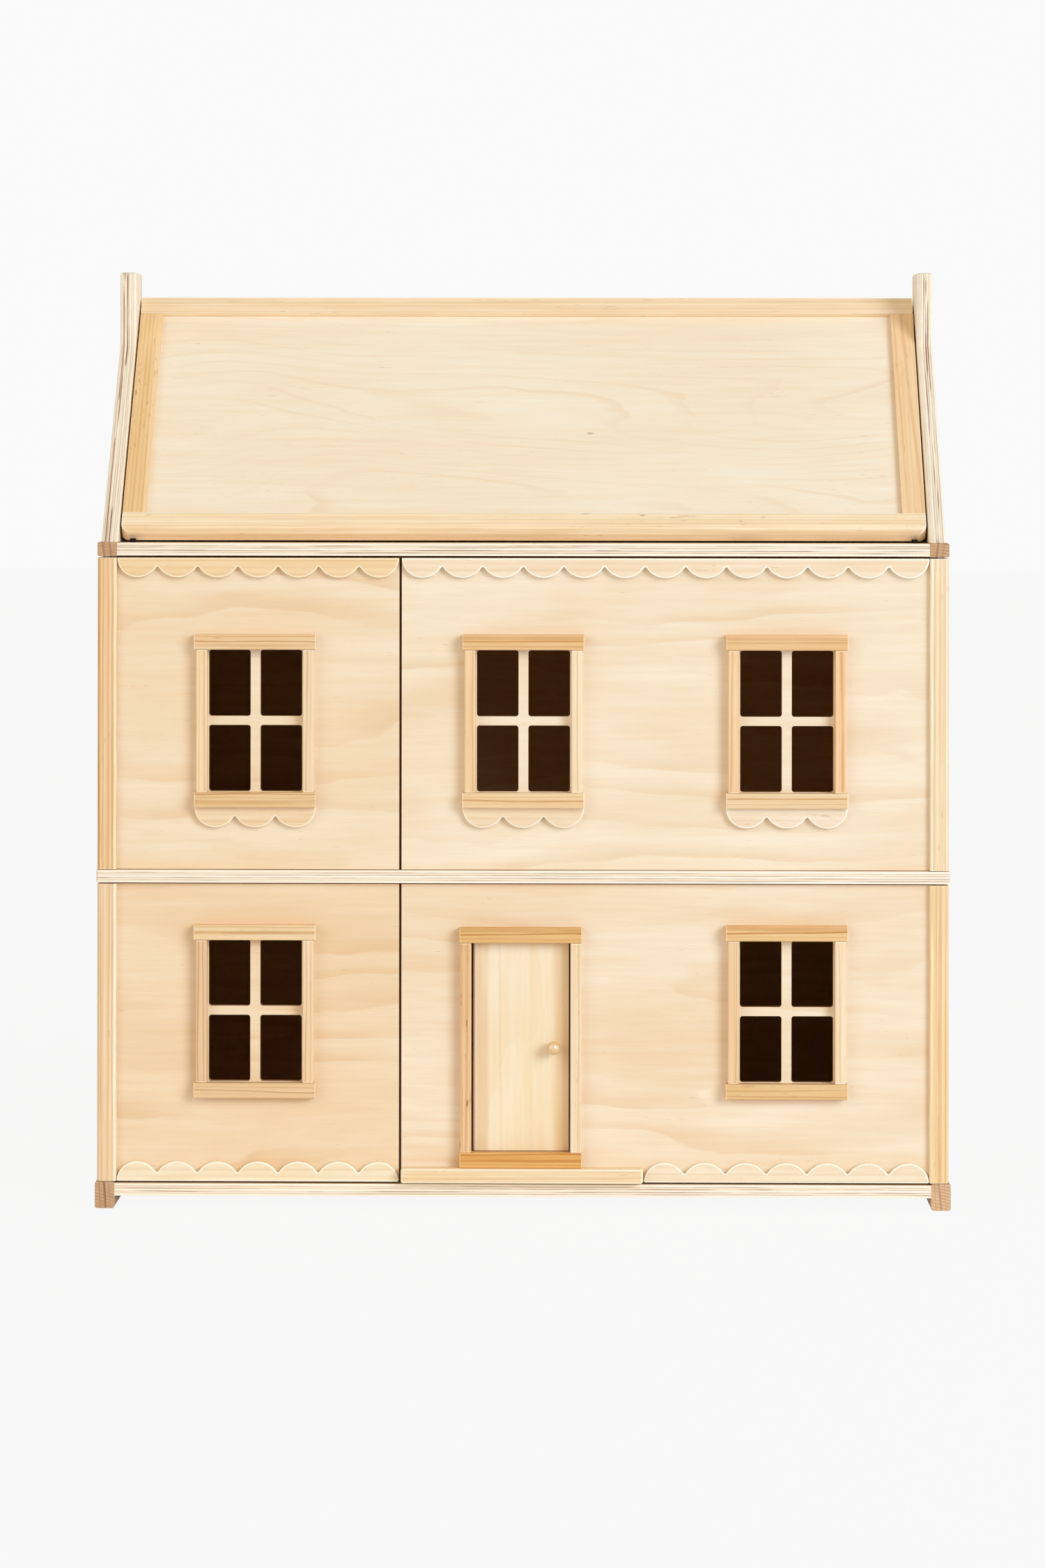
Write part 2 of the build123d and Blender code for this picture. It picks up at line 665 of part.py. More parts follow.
for side, sign in sides.items():
    with BuildPart() as stile:
        with BuildSketch(roof_face.offset(-roof_thickness)):
            with Locations((sign * (roof_half - frame_width / 2), stile_bottom_u / 2)):
                Rectangle(frame_width, -stile_bottom_u)
        extrude(amount=roof_thickness)
        with BuildSketch(roof_face.offset(groove_floor_w)):
            with Locations((sign * (roof_half - frame_width), stile_bottom_u / 2)):
                Rectangle(2 * groove, -stile_bottom_u)
        extrude(amount=groove_width, mode=Mode.SUBTRACT)
    save(stile, f"roof_{side}_stile")

with BuildPart() as infill:
    with BuildSketch(roof_face.offset(-infill_sink - infill_ply)):
        with Locations((0, stile_bottom_u / 2)):
            Rectangle(2 * infill_half, 2 * infill_tongue - stile_bottom_u)
    extrude(amount=infill_ply)
save(infill, "roof_infill")

# Pins between the gables and the top rail
roof_pin_length = gable_pin_depth + roof_side_gap + roof_pin_reach
roof_pin_starts = [(-wall_x - gable_pin_depth, roof_pivot_y, roof_pivot_z),
                   (wall_x + gable_pin_depth - roof_pin_length, roof_pivot_y, roof_pivot_z)]
save(rod(mouths(roof_pin_starts, (1, 0, 0)), roof_pin_radius, roof_pin_length), "roof_pivot_pins")

# Back roof, which stops short of the turning top rail and stands on the attic floor
double_sin = sin(2 * pitch)
double_cos = cos(2 * pitch)
tail_radius = sqrt((frame_width / 2)**2 + (roof_thickness / 2)**2)
tail_middle = frame_width / 2 * double_cos + roof_thickness / 2 * double_sin
tail_lap = tail_middle + sqrt(tail_middle**2 + 2 * tail_radius * tail_gap + tail_gap**2)


def slope_lap(depth):
    # Distance down the back slope at which stock of this depth clears the underside of the front roof.
    return (roof_thickness + max(0.0, -depth * double_cos)) / double_sin + tail_gap


def back_slope_point(distance, depth):
    # Point at a distance down the back slope and a depth below its face, as house y and z.
    y = ridge_y + distance * cos(pitch) - depth * sin(pitch)
    z = ridge_z - distance * sin(pitch) - depth * cos(pitch)
    return (y, z)


back_lap = max(tail_lap, slope_lap(back_roof_ply))
back_foot_y = ridge_y + (ridge_z - attic_top) / tan(pitch)
with BuildPart() as back_roof:
    with BuildSketch(side_plane(-wall_x)):
        Polygon(
            back_slope_point(back_lap, 0),
            (back_foot_y, attic_top),
            (back_foot_y - back_roof_ply / sin(pitch), attic_top),
            back_slope_point(back_lap, back_roof_ply),
            align=None,
        )
    extrude(amount=room_width)
save(back_roof, "back_roof")

# Ridge batten under the upper edge of the back roof
ridge_lap = max(back_lap, slope_lap(back_roof_ply + ridge_thickness))
with BuildPart() as ridge_batten:
    with BuildSketch(side_plane(-wall_x)):
        Polygon(
            back_slope_point(ridge_lap, back_roof_ply),
            back_slope_point(ridge_lap + ridge_width, back_roof_ply),
            back_slope_point(ridge_lap + ridge_width, back_roof_ply + ridge_thickness),
            back_slope_point(ridge_lap, back_roof_ply + ridge_thickness),
            align=None,
        )
    extrude(amount=room_width)
save(ridge_batten, "ridge_batten")

# Rubber bumpers on the attic floor, which the eave of the closed roof rests on
eave_y = ridge_y + eave_u * cos(pitch) + roof_thickness * sin(pitch)
bumper_y = eave_y - (bumper_height - eave_gap) * tan(pitch) - bumper_gap / cos(pitch) - bumper_radius
bumper_x = roof_half - bumper_inset
bumper_feet = mouths([(-bumper_x, bumper_y, attic_top), (bumper_x, bumper_y, attic_top)], (0, 0, 1))
save(rod(bumper_feet, bumper_radius, bumper_height), "roof_bumpers")
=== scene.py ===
import json
from math import radians

import bpy
from mathutils import Matrix, Vector

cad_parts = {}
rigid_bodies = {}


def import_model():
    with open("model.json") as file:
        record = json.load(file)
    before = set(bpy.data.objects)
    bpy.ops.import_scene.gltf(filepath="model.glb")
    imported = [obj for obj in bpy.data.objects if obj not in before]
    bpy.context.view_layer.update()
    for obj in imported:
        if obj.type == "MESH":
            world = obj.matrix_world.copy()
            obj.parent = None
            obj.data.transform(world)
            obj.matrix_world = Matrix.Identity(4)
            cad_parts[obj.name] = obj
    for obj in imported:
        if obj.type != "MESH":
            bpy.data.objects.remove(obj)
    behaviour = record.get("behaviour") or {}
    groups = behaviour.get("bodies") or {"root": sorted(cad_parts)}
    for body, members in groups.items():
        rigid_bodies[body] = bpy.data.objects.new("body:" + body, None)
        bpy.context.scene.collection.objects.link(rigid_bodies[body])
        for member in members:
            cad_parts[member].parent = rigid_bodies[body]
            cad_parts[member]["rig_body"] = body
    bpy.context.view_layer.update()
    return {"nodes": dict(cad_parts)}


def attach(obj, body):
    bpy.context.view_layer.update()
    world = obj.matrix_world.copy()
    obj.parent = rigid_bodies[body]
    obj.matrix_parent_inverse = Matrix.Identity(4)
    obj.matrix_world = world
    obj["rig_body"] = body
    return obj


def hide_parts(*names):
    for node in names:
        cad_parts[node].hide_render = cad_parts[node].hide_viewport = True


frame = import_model()

mm = 0.001

# How wood lies in a piece: the rows turn a point into (along the grain, across it, through the thickness)
roofSlope = radians(45)
lie = {
    "levelFloor": Matrix(((1, 0, 0), (0, 1, 0), (0, 0, 1))),
    "levelFront": Matrix(((1, 0, 0), (0, 0, -1), (0, 1, 0))),
    "uprightFront": Matrix(((0, 0, 1), (1, 0, 0), (0, 1, 0))),
    "uprightSide": Matrix(((0, 0, 1), (0, -1, 0), (1, 0, 0))),
    "levelSide": Matrix(((0, 1, 0), (0, 0, 1), (1, 0, 0))),
    "frontSlope": Matrix.Rotation(-roofSlope, 3, "X"),
    "backSlope": Matrix.Rotation(roofSlope, 3, "X"),
    "upFrontSlope": Matrix(((0, 1, 0), (-1, 0, 0), (0, 0, 1))) @ Matrix.Rotation(-roofSlope, 3, "X"),
}


def linear(colour):
    # Display colour 0-255 to the linear values that shaders take.
    parts = [c / 255 for c in colour]
    return tuple(c / 12.92 if c <= 0.04045 else ((c + 0.055) / 1.055) ** 2.4 for c in parts) + (1.0,)


def shade(colour, shares):
    # The colour with its red, green and blue each multiplied by a share.
    return (*[part * share for part, share in zip(colour, shares)], 1.0)


def addNode(tree, kind, inputs=None, **settings):
    made = tree.nodes.new(kind)
    for key, value in settings.items():
        setattr(made, key, value)
    for key, value in (inputs or {}).items():
        if isinstance(value, bpy.types.NodeSocket):
            tree.links.new(value, made.inputs[key])
        else:
            made.inputs[key].default_value = value
    return made


def mathNode(tree, operation, first, second=0.0, third=0.0, clamp=False):
    made = addNode(tree, "ShaderNodeMath", {0: first, 1: second, 2: third}, operation=operation)
    made.use_clamp = clamp
    return made.outputs[0]


def times(tree, first, second):
    return mathNode(tree, "MULTIPLY", first, second)


def shifted(tree, place, step):
    return addNode(tree, "ShaderNodeVectorMath", {0: place, 1: step}, operation="ADD").outputs[0]


def stretched(tree, place, along, across, through=None):
    scale = (along, across, across if through is None else through)
    return addNode(tree, "ShaderNodeVectorMath", {0: place, 1: scale}, operation="MULTIPLY").outputs[0]


def remap(tree, value, low, high, smooth=False):
    made = addNode(tree, "ShaderNodeMapRange", {"Value": value, "From Min": low, "From Max": high})
    made.interpolation_type = "SMOOTHSTEP" if smooth else "LINEAR"
    return made.outputs["Result"]


def mixColours(tree, share, first, second):
    return addNode(tree, "ShaderNodeMix", {0: share, 6: first, 7: second}, data_type="RGBA").outputs[2]


def marked(tree, colour, mask, strength, mark):
    # Lays the mark's colour over colour where the mask is.
    return mixColours(tree, times(tree, mask, strength), colour, mark)


noiseMiddle = 0.5


def noise(tree, place, scale, detail=2.0, roughness=0.5, distortion=0.0):
    # scale is waves per metre: one number, or one along the grain, one across it and perhaps one through it.
    if isinstance(scale, tuple):
        place = stretched(tree, place, *scale)
        scale = 1.0
    made = addNode(tree, "ShaderNodeTexNoise",
                   {"Vector": place, "Scale": scale, "Detail": detail,
                    "Roughness": roughness, "Distortion": distortion})
    return made.outputs["Fac"]


def pattern(tree, place, scale, limits, smooth=False, **kind):
    # Noise whose values between the two limits become 0 to 1.
    return remap(tree, noise(tree, place, scale, **kind), *limits, smooth)


def newGroup(name, vectors, numbers, outputs):
    # Its inputs are vectors and then numbers with their defaults, and its outputs are numbers.
    group = bpy.data.node_groups.new(name, "ShaderNodeTree")
    for label in vectors:
        group.interface.new_socket(name=label, in_out="INPUT", socket_type="NodeSocketVector")
    for label, default in numbers.items():
        socket = group.interface.new_socket(name=label, in_out="INPUT", socket_type="NodeSocketFloat")
        socket.default_value = default
    for label in outputs:
        group.interface.new_socket(name=label, in_out="OUTPUT", socket_type="NodeSocketFloat")
    return group, group.nodes.new("NodeGroupInput").outputs, group.nodes.new("NodeGroupOutput")


def giveOut(tree, result, values):
    for label, value in values.items():
        tree.links.new(value, result.inputs[label])


def useGroup(tree, group, inputs):
    return addNode(tree, "ShaderNodeGroup", inputs, node_tree=group).outputs


# Sawn softwood: growth rings about the heart, drifting slowly along the grain
timberLook = {
    "drift": 0.05,                  # change of the rings along the grain, as a share of that across it
    "unitRing": 0.314,              # ring width in metres that a wave of scale 1 draws
    "stray": {"Detail": 2.0, "Detail Scale": 0.35, "Detail Roughness": 0.55},
    "darkens": (0.35, 0.86),        # shares of a ring
    "ends": (0.92, 1.0),
    "strength": {"scale": (4, 160), "detail": 1.0, "limits": (0.3, 0.7)},
    "weakest": 0.3,
    "tone": {"scale": (9, 150), "detail": 3.0, "roughness": 0.6, "limits": (0.3, 0.7), "smooth": True},
    "fibre": {"scale": (60, 2600), "roughness": 0.6, "limits": (0.3, 0.7)},
    "dash": {"scale": (90, 700), "detail": 1.0, "limits": (0.66, 0.74)},
    "dashArea": {"scale": (9, 60), "detail": 1.0, "limits": (0.50, 0.62)},
}


def makeTimberGrain():
    look = timberLook
    tree, given, result = newGroup(
        "timberGrain", ["Place"], {"Ring Width": 0.003, "Wander": 2.5},
        ["Late", "Tone", "Fibre", "Fleck"])
    place = given["Place"]
    drawn = stretched(tree, place, look["drift"], 1.0)
    scale = mathNode(tree, "DIVIDE", look["unitRing"], given["Ring Width"])
    rings = addNode(tree, "ShaderNodeTexWave",
                    {"Vector": drawn, "Scale": scale, "Distortion": given["Wander"]} | look["stray"],
                    wave_type="RINGS", rings_direction="X", wave_profile="SAW")
    ring = rings.outputs["Fac"]
    ended = remap(tree, ring, *look["ends"], smooth=True)
    late = times(tree, remap(tree, ring, *look["darkens"], smooth=True),
                 mathNode(tree, "SUBTRACT", 1.0, ended))
    strength = pattern(tree, place, **look["strength"])
    strength = mathNode(tree, "MULTIPLY_ADD", strength, 1.0 - look["weakest"], look["weakest"])
    dash = pattern(tree, place, **look["dash"])
    area = pattern(tree, place, **look["dashArea"])
    giveOut(tree, result, {"Late": times(tree, late, strength),
                           "Tone": pattern(tree, place, **look["tone"]),
                           "Fibre": pattern(tree, place, **look["fibre"]),
                           "Fleck": times(tree, dash, area)})
    return tree


# One line along a piece, which joins the lines drawn before it: dark growth lines, gaps between plies, bands
# of painted highlight and one painted shadow on the door leaf
drawnLineLook = {
    "wobble": (14, 30, 3),          # waves per metre
    "vary": {"scale": (24, 60, 6), "detail": 1.0, "limits": (0.25, 0.6)},
    "faintest": 0.6,
    "gone": {"scale": (16, 30, 3), "roughness": 0.6, "limits": (0.56, 0.47), "smooth": True},
    "edge": (1.3, 0.5),             # half widths from the middle where the line ends and where it is full
    "apart": 500.0,                 # takes each line into wood of its own
}


def makeDrawnLine():
    look = drawnLineLook
    tree, given, result = newGroup(
        "drawnLine", ["Place", "Seed"],
        {"Before": 0.0, "Offset": 0.0, "Half Width": 0.001, "Strength": 0.5, "Slant": 0.0,
         "Wobble": 0.0022, "Breaks": 0.0},
        ["Lines"])
    along, across, _ = addNode(tree, "ShaderNodeSeparateXYZ", {0: given["Place"]}).outputs
    apart = addNode(tree, "ShaderNodeCombineXYZ", {0: times(tree, given["Offset"], look["apart"])}).outputs[0]
    own = shifted(tree, given["Place"], shifted(tree, apart, given["Seed"]))
    wobble = mathNode(tree, "SUBTRACT", noise(tree, own, look["wobble"]), noiseMiddle)
    line = mathNode(tree, "MULTIPLY_ADD", wobble, given["Wobble"], given["Offset"])
    line = mathNode(tree, "MULTIPLY_ADD", along, given["Slant"], line)
    away = mathNode(tree, "ABSOLUTE", mathNode(tree, "SUBTRACT", across, line))
    mask = remap(tree, mathNode(tree, "DIVIDE", away, given["Half Width"]), *look["edge"], smooth=True)
    vary = pattern(tree, own, **look["vary"])
    mask = times(tree, mask, mathNode(tree, "MULTIPLY_ADD", vary, 1.0 - look["faintest"], look["faintest"]))
    gone = times(tree, pattern(tree, own, **look["gone"]), given["Breaks"])
    mask = times(tree, mask, mathNode(tree, "SUBTRACT", 1.0, gone))
    mask = times(tree, mask, given["Strength"])
    giveOut(tree, result, {"Lines": mathNode(tree, "MAXIMUM", given["Before"], mask)})
    return tree


# Face veneer peeled from the log: pale clouds, fine streaks, one-sided growth lines, flecks, rare knots
veneerLook = {
    "cloud": {"scale": (5, 17), "detail": 3.0, "roughness": 0.55, "distortion": 0.3,
              "limits": (0.33, 0.67), "smooth": True},
    "streak": {"scale": (12, 210), "detail": 3.0, "roughness": 0.6, "distortion": 0.25,
               "limits": (0.3, 0.72)},
    "broadSweep": {"scale": (2.6, 11), "detail": 1.0, "distortion": 0.25},
    "smallSweep": {"scale": (16, 60)},
    "smallShare": 0.6,
    "lineFull": 0.93,               # shares of the way from one growth line to the next
    "lineEnds": (1.0, 0.95),
    "present": {"scale": (6, 22), "detail": 1.0, "limits": (0.38, 0.68), "smooth": True},
    "faintest": 0.2,
    "fibre": {"scale": (40, 1500), "roughness": 0.6, "limits": (0.3, 0.7)},
    "dash": {"scale": (110, 900), "detail": 1.0, "limits": (0.70, 0.78)},
    "dashArea": {"scale": (14, 40), "detail": 1.0, "limits": (0.52, 0.66)},
    "knotCells": (7, 15),           # per metre
    "knotRare": (0.86, 0.88),       # cells with a random value above these have a knot
    "knotEdge": (0.028, 0.010),     # in cells
}


def makeVeneerFigure():
    look = veneerLook
    tree, given, result = newGroup(
        "veneerFigure", ["Place"], {"Lines Per Metre": 30.0, "Sweep": 4.0, "Line Start": 0.35},
        ["Cloud", "Streak", "Line", "Fibre", "Fleck", "Knot"])
    place = given["Place"]
    across = addNode(tree, "ShaderNodeSeparateXYZ", {0: place}).outputs[1]
    height = times(tree, across, given["Lines Per Metre"])
    broad = noise(tree, place, **look["broadSweep"])
    height = mathNode(tree, "MULTIPLY_ADD", broad, given["Sweep"], height)
    small = noise(tree, place, **look["smallSweep"])
    height = mathNode(tree, "MULTIPLY_ADD", small, look["smallShare"], height)
    ring = mathNode(tree, "FRACT", height)
    line = times(tree, remap(tree, ring, given["Line Start"], look["lineFull"], smooth=True),
                 remap(tree, ring, *look["lineEnds"], smooth=True))
    present = pattern(tree, place, **look["present"])
    present = mathNode(tree, "MULTIPLY_ADD", present, 1.0 - look["faintest"], look["faintest"])
    dash = pattern(tree, place, **look["dash"])
    area = pattern(tree, place, **look["dashArea"])
    cells = addNode(tree, "ShaderNodeTexVoronoi",
                    {"Vector": stretched(tree, place, *look["knotCells"]), "Scale": 1.0}).outputs
    chance = addNode(tree, "ShaderNodeSeparateColor", {0: cells["Color"]}).outputs[0]
    knot = remap(tree, cells["Distance"], *look["knotEdge"], smooth=True)
    giveOut(tree, result, {"Cloud": pattern(tree, place, **look["cloud"]),
                           "Streak": pattern(tree, place, **look["streak"]),
                           "Line": times(tree, line, present),
                           "Fibre": pattern(tree, place, **look["fibre"]),
                           "Fleck": times(tree, dash, area),
                           "Knot": times(tree, knot, remap(tree, chance, *look["knotRare"]))})
    return tree


# Edge of a plywood board: where its face ends, its cross plies and its broken glue lines
layerLook = {
    "faceEnds": (0.003, 0.02),      # shares of the thickness
    "wave": {"scale": 13.0, "detail": 1.0},
    "waveHeight": 0.5,              # plies
    "glueHalf": 0.0003,             # half width of a glue line, metres
    "glueEdge": (1.3, 0.5),         # half widths from the middle where it ends and where it is full
    "bareFace": 0.6,                # plies next to a face without a glue line
    "apart": 3.7,                   # takes each glue line into noise of its own
    "broken": {"scale": 14.0, "detail": 3.0, "roughness": 0.6, "limits": (0.42, 0.60), "smooth": True},
    "faintest": 0.25,
    "deep": {"scale": 9.0, "detail": 3.0, "roughness": 0.65, "limits": (0.50, 0.58), "smooth": True},
}


def makePlyLayers():
    look = layerLook
    tree, given, result = newGroup(
        "plyLayers", ["Place"], {"Thickness": 0.009, "Plies": 7.0},
        ["Edge", "Cross", "Glue", "Dark"])
    place, thickness, plies = given["Place"], given["Thickness"], given["Plies"]
    depth = addNode(tree, "ShaderNodeSeparateXYZ", {0: place}).outputs[2]
    share = mathNode(tree, "DIVIDE", depth, thickness)
    above = mathNode(tree, "ADD", share, 2.0)   # two whole boards up, to stay above zero
    fromFace = mathNode(tree, "PINGPONG", above, 0.5)
    edge = remap(tree, fromFace, *look["faceEnds"], smooth=True)
    wave = mathNode(tree, "SUBTRACT", noise(tree, place, **look["wave"]), noiseMiddle)
    wave = times(tree, wave, look["waveHeight"])
    layer = mathNode(tree, "ADD", times(tree, share, plies), wave)
    cross = mathNode(tree, "GREATER_THAN", mathNode(tree, "MODULO", layer, 2.0), 1.0)
    glueHalf = mathNode(tree, "DIVIDE", times(tree, plies, look["glueHalf"]), thickness)
    near = mathNode(tree, "DIVIDE", mathNode(tree, "PINGPONG", layer, 0.5), glueHalf)
    inner = mathNode(tree, "GREATER_THAN", fromFace, mathNode(tree, "DIVIDE", look["bareFace"], plies))
    line = times(tree, remap(tree, near, *look["glueEdge"], smooth=True), inner)
    index = times(tree, mathNode(tree, "ROUND", layer), look["apart"])
    own = shifted(tree, place, addNode(tree, "ShaderNodeCombineXYZ", {2: index}).outputs[0])
    broken = pattern(tree, own, **look["broken"])
    broken = mathNode(tree, "MULTIPLY_ADD", broken, 1.0 - look["faintest"], look["faintest"])
    giveOut(tree, result, {"Edge": edge, "Cross": times(tree, cross, edge),
                           "Glue": times(tree, line, broken),
                           "Dark": times(tree, line, pattern(tree, own, **look["deep"]))})
    return tree


timberGrain = makeTimberGrain()
drawnLine = makeDrawnLine()
veneerFigure = makeVeneerFigure()
plyLayers = makePlyLayers()
print("grain groups built")


def boxMiddle(piece):
    points = [corner.co for corner in piece.data.vertices]
    lows = [min(point[k] for point in points) for k in range(3)]
    highs = [max(point[k] for point in points) for k in range(3)]
    return Vector([(low + high) / 2 for low, high in zip(lows, highs)])


def woodPlace(tree, turn, shift):
    where = addNode(tree, "ShaderNodeTexCoord").outputs["Object"]
    return addNode(tree, "ShaderNodeMapping",
                   {"Vector": where, "Location": shift, "Rotation": turn.to_euler()}).outputs[0]


def linePlace(tree, piece, grain):
    # Place from the middle of the piece, turned so that its lines run as asked.
    turn = lie[grain]
    return woodPlace(tree, turn, -(turn @ boxMiddle(piece)))


def startMaterial(name, turn, shift, fresh):
    # place starts at the piece's own middle or face; own is the same, moved into fresh wood.
    material = bpy.data.materials.new(name)
    material.use_nodes = True
    tree = material.node_tree
    place = woodPlace(tree, turn, shift)
    return material, tree, tree.nodes["Principled BSDF"], place, shifted(tree, place, fresh)


def drawLines(tree, place, lines, before, fresh, wobble=2.2, breaks=0.0):
    for offset, half, strength, slant in lines:
        before = useGroup(tree, drawnLine, {"Place": place, "Before": before, "Offset": offset * mm,
                                             "Half Width": half * mm, "Strength": strength,
                                             "Slant": slant / 100, "Wobble": wobble * mm,
                                             "Breaks": breaks, "Seed": fresh})["Lines"]
    return before


reliefStrength = 0.6


def finishWood(tree, shader, colour, height, look):
    tree.links.new(colour, shader.inputs["Base Color"])
    bump = addNode(tree, "ShaderNodeBump", {"Height": height, "Distance": look["relief"] * mm,
                                            "Strength": reliefStrength})
    tree.links.new(bump.outputs[0], shader.inputs["Normal"])
    shader.inputs["Roughness"].default_value = look["roughness"]
    shader.inputs["Specular IOR Level"].default_value = look["specular"]


# Planed pine, where a piece's own look says nothing else; its tone is the colour of its earlywood
pineBase = {
    "heart": (46, 22),              # of the log, across and through from the piece's middle, mm
    "ring": 2.8,                    # mm
    "wander": 2.5,
    "contrast": 0.45,               # of the rings
    "late": (0.63, 0.42, 0.21),     # latewood, in shares of the tone
    "lines": (),                    # each: offset across and half width in mm, strength, slant in percent
    "highlightBands": (),                    # pale ones, given as lines are: painted highlight along edges
    "fleck": 0.3,
    "sandedAndHighlit": 1.0,                  # paleness of the eased edges: paler sanded wood and a painted highlight
    "relief": 0.06,                 # mm
    "roughness": 0.55,
    "specular": 0.12,
    "lacquer": 0.0,
}
pineMarks = {
    "seedStep": (370, 3.1, -1.7),   # mm through the log from one seed to the next
    "toned": (0.95, 0.88, 0.78),    # this and the next ones are shares of the tone
    "fibre": (0.85, 0.74, 0.60),
    "fibreStrength": 0.14,
    "fleck": (0.42, 0.28, 0.20),
    # pale and palest colour the eased edges, partly paler sanded wood and partly a painted highlight, and the
    # bands, a painted highlight
    "pale": (1.15, 1.25, 1.45),
    "palest": (0.98, 0.95, 0.82),   # linear colour
    "sandedVary": (0.2, 0.75),      # how much the paler, painted-highlight edges vary, and their least
    "lacquerBend": 1.9,             # index of refraction
    "lacquerRoughness": 0.22,
}


def pine(piece, look):
    look = pineBase | look
    marks = pineMarks
    turn = lie[look["grain"]]
    starts = (0, *look["heart"])
    fresh = Vector([(start + step * look["seed"]) * mm for start, step in zip(starts, marks["seedStep"])])
    shift = -(turn @ boxMiddle(piece))
    material, tree, shader, place, own = startMaterial(piece.name + "_pine", turn, shift, fresh)
    grain = useGroup(tree, timberGrain, {"Place": own, "Ring Width": look["ring"] * mm,
                                         "Wander": look["wander"]})
    early = linear(look["tone"])
    colour = mixColours(tree, grain["Tone"], early, shade(early, marks["toned"]))
    if "lineLie" in look:
        place = linePlace(tree, piece, look["lineLie"])
    late = drawLines(tree, place, look["lines"], times(tree, grain["Late"], look["contrast"]), fresh)
    colour = mixColours(tree, late, colour, shade(early, look["late"]))
    colour = marked(tree, colour, grain["Fibre"], marks["fibreStrength"], shade(early, marks["fibre"]))
    colour = marked(tree, colour, grain["Fleck"], look["fleck"], shade(early, marks["fleck"]))
    # Eased edges are painted paler, partly as sanded wood and partly as a painted highlight; the bands are
    # painted highlight
    pale = shade(early, marks["pale"])
    pale = (*[min(part, most) for part, most in zip(pale, marks["palest"])], 1.0)
    highlightBands = drawLines(tree, place, look["highlightBands"], 0.0, fresh)
    sandedAndHighlit = addNode(tree, "ShaderNodeAttribute", attribute_name="sandedAndHighlit").outputs["Fac"]
    sandedAndHighlit = times(tree, sandedAndHighlit, mathNode(tree, "MULTIPLY_ADD", grain["Tone"], *marks["sandedVary"]))
    sandedAndHighlit = times(tree, sandedAndHighlit, look["sandedAndHighlit"])
    colour = mixColours(tree, mathNode(tree, "MAXIMUM", sandedAndHighlit, highlightBands), colour, pale)
    finishWood(tree, shader, colour, grain["Fibre"], look)
    shader.inputs["Coat Weight"].default_value = look["lacquer"]
    shader.inputs["Coat IOR"].default_value = marks["lacquerBend"]
    shader.inputs["Coat Roughness"].default_value = marks["lacquerRoughness"]
    return material


# Plywood boards, where a piece's own look says nothing else
plywoodBase = {
    "face": (250, 232, 206),        # pale and warm parts of the face veneer
    "warm": (243, 213, 172),
    "density": 30.0,                # growth lines per metre
    "sweep": 5.0,
    "lineStart": 0.35,
    "figure": 1.0,                  # strength of the growth lines
    "cloud": 0.45,
    "lines": (),                    # single growth lines, given as for pine; on the door leaf one is a painted shadow
    "plies": 5,
    "bare": (252, 240, 220),        # cut edges
    "glue": 0.7,
    "dark": 0.6,
    "voids": (),                    # dark broken gaps between plies on the cut edges, given as lines are
    "relief": 0.05,                 # mm
    "roughness": 0.55,
    "specular": 0.12,
}
plywoodMarks = {
    "seedStep": (610, 430, 0),      # mm through the veneer from one seed to the next
    "streakStrength": 0.42,
    "figure": (0.88, 0.74, 0.58),   # shares of the warm colour
    "figureStrength": 0.45,
    "line": (0.84, 0.70, 0.52),
    "fibre": (0.90, 0.82, 0.70),
    "fibreStrength": 0.12,
    "fleck": (186, 142, 98),
    "fleckStrength": 0.35,
    "knot": (176, 128, 84),
    "knotStrength": 0.6,
    "cross": (0.86, 0.78, 0.68),    # shares of the bare colour
    "crossStrength": 0.6,
    "cutStreak": (0.84, 0.76, 0.66),
    "cutStreakStrength": 0.25,
    "glue": (174, 130, 96),
    "dark": (124, 84, 60),
    "void": (140, 88, 58),
    "voidWobble": 0.4,              # mm
    "glueDepth": 2.0,               # times the relief of the fibre
}


def veneerColour(tree, veneer, place, look, fresh):
    marks = plywoodMarks
    pale = linear(look["face"])
    warm = linear(look["warm"])
    cloud = times(tree, veneer["Cloud"], look["cloud"])
    streak = times(tree, veneer["Streak"], marks["streakStrength"])
    colour = mixColours(tree, mathNode(tree, "ADD", cloud, streak, clamp=True), pale, warm)
    strength = marks["figureStrength"] * look["figure"]
    colour = marked(tree, colour, veneer["Line"], strength, shade(warm, marks["figure"]))
    lines = drawLines(tree, place, look["lines"], 0.0, fresh)
    colour = mixColours(tree, lines, colour, shade(warm, marks["line"]))
    colour = marked(tree, colour, veneer["Fibre"], marks["fibreStrength"], shade(warm, marks["fibre"]))
    colour = marked(tree, colour, veneer["Fleck"], marks["fleckStrength"], linear(marks["fleck"]))
    return marked(tree, colour, veneer["Knot"], marks["knotStrength"], linear(marks["knot"]))


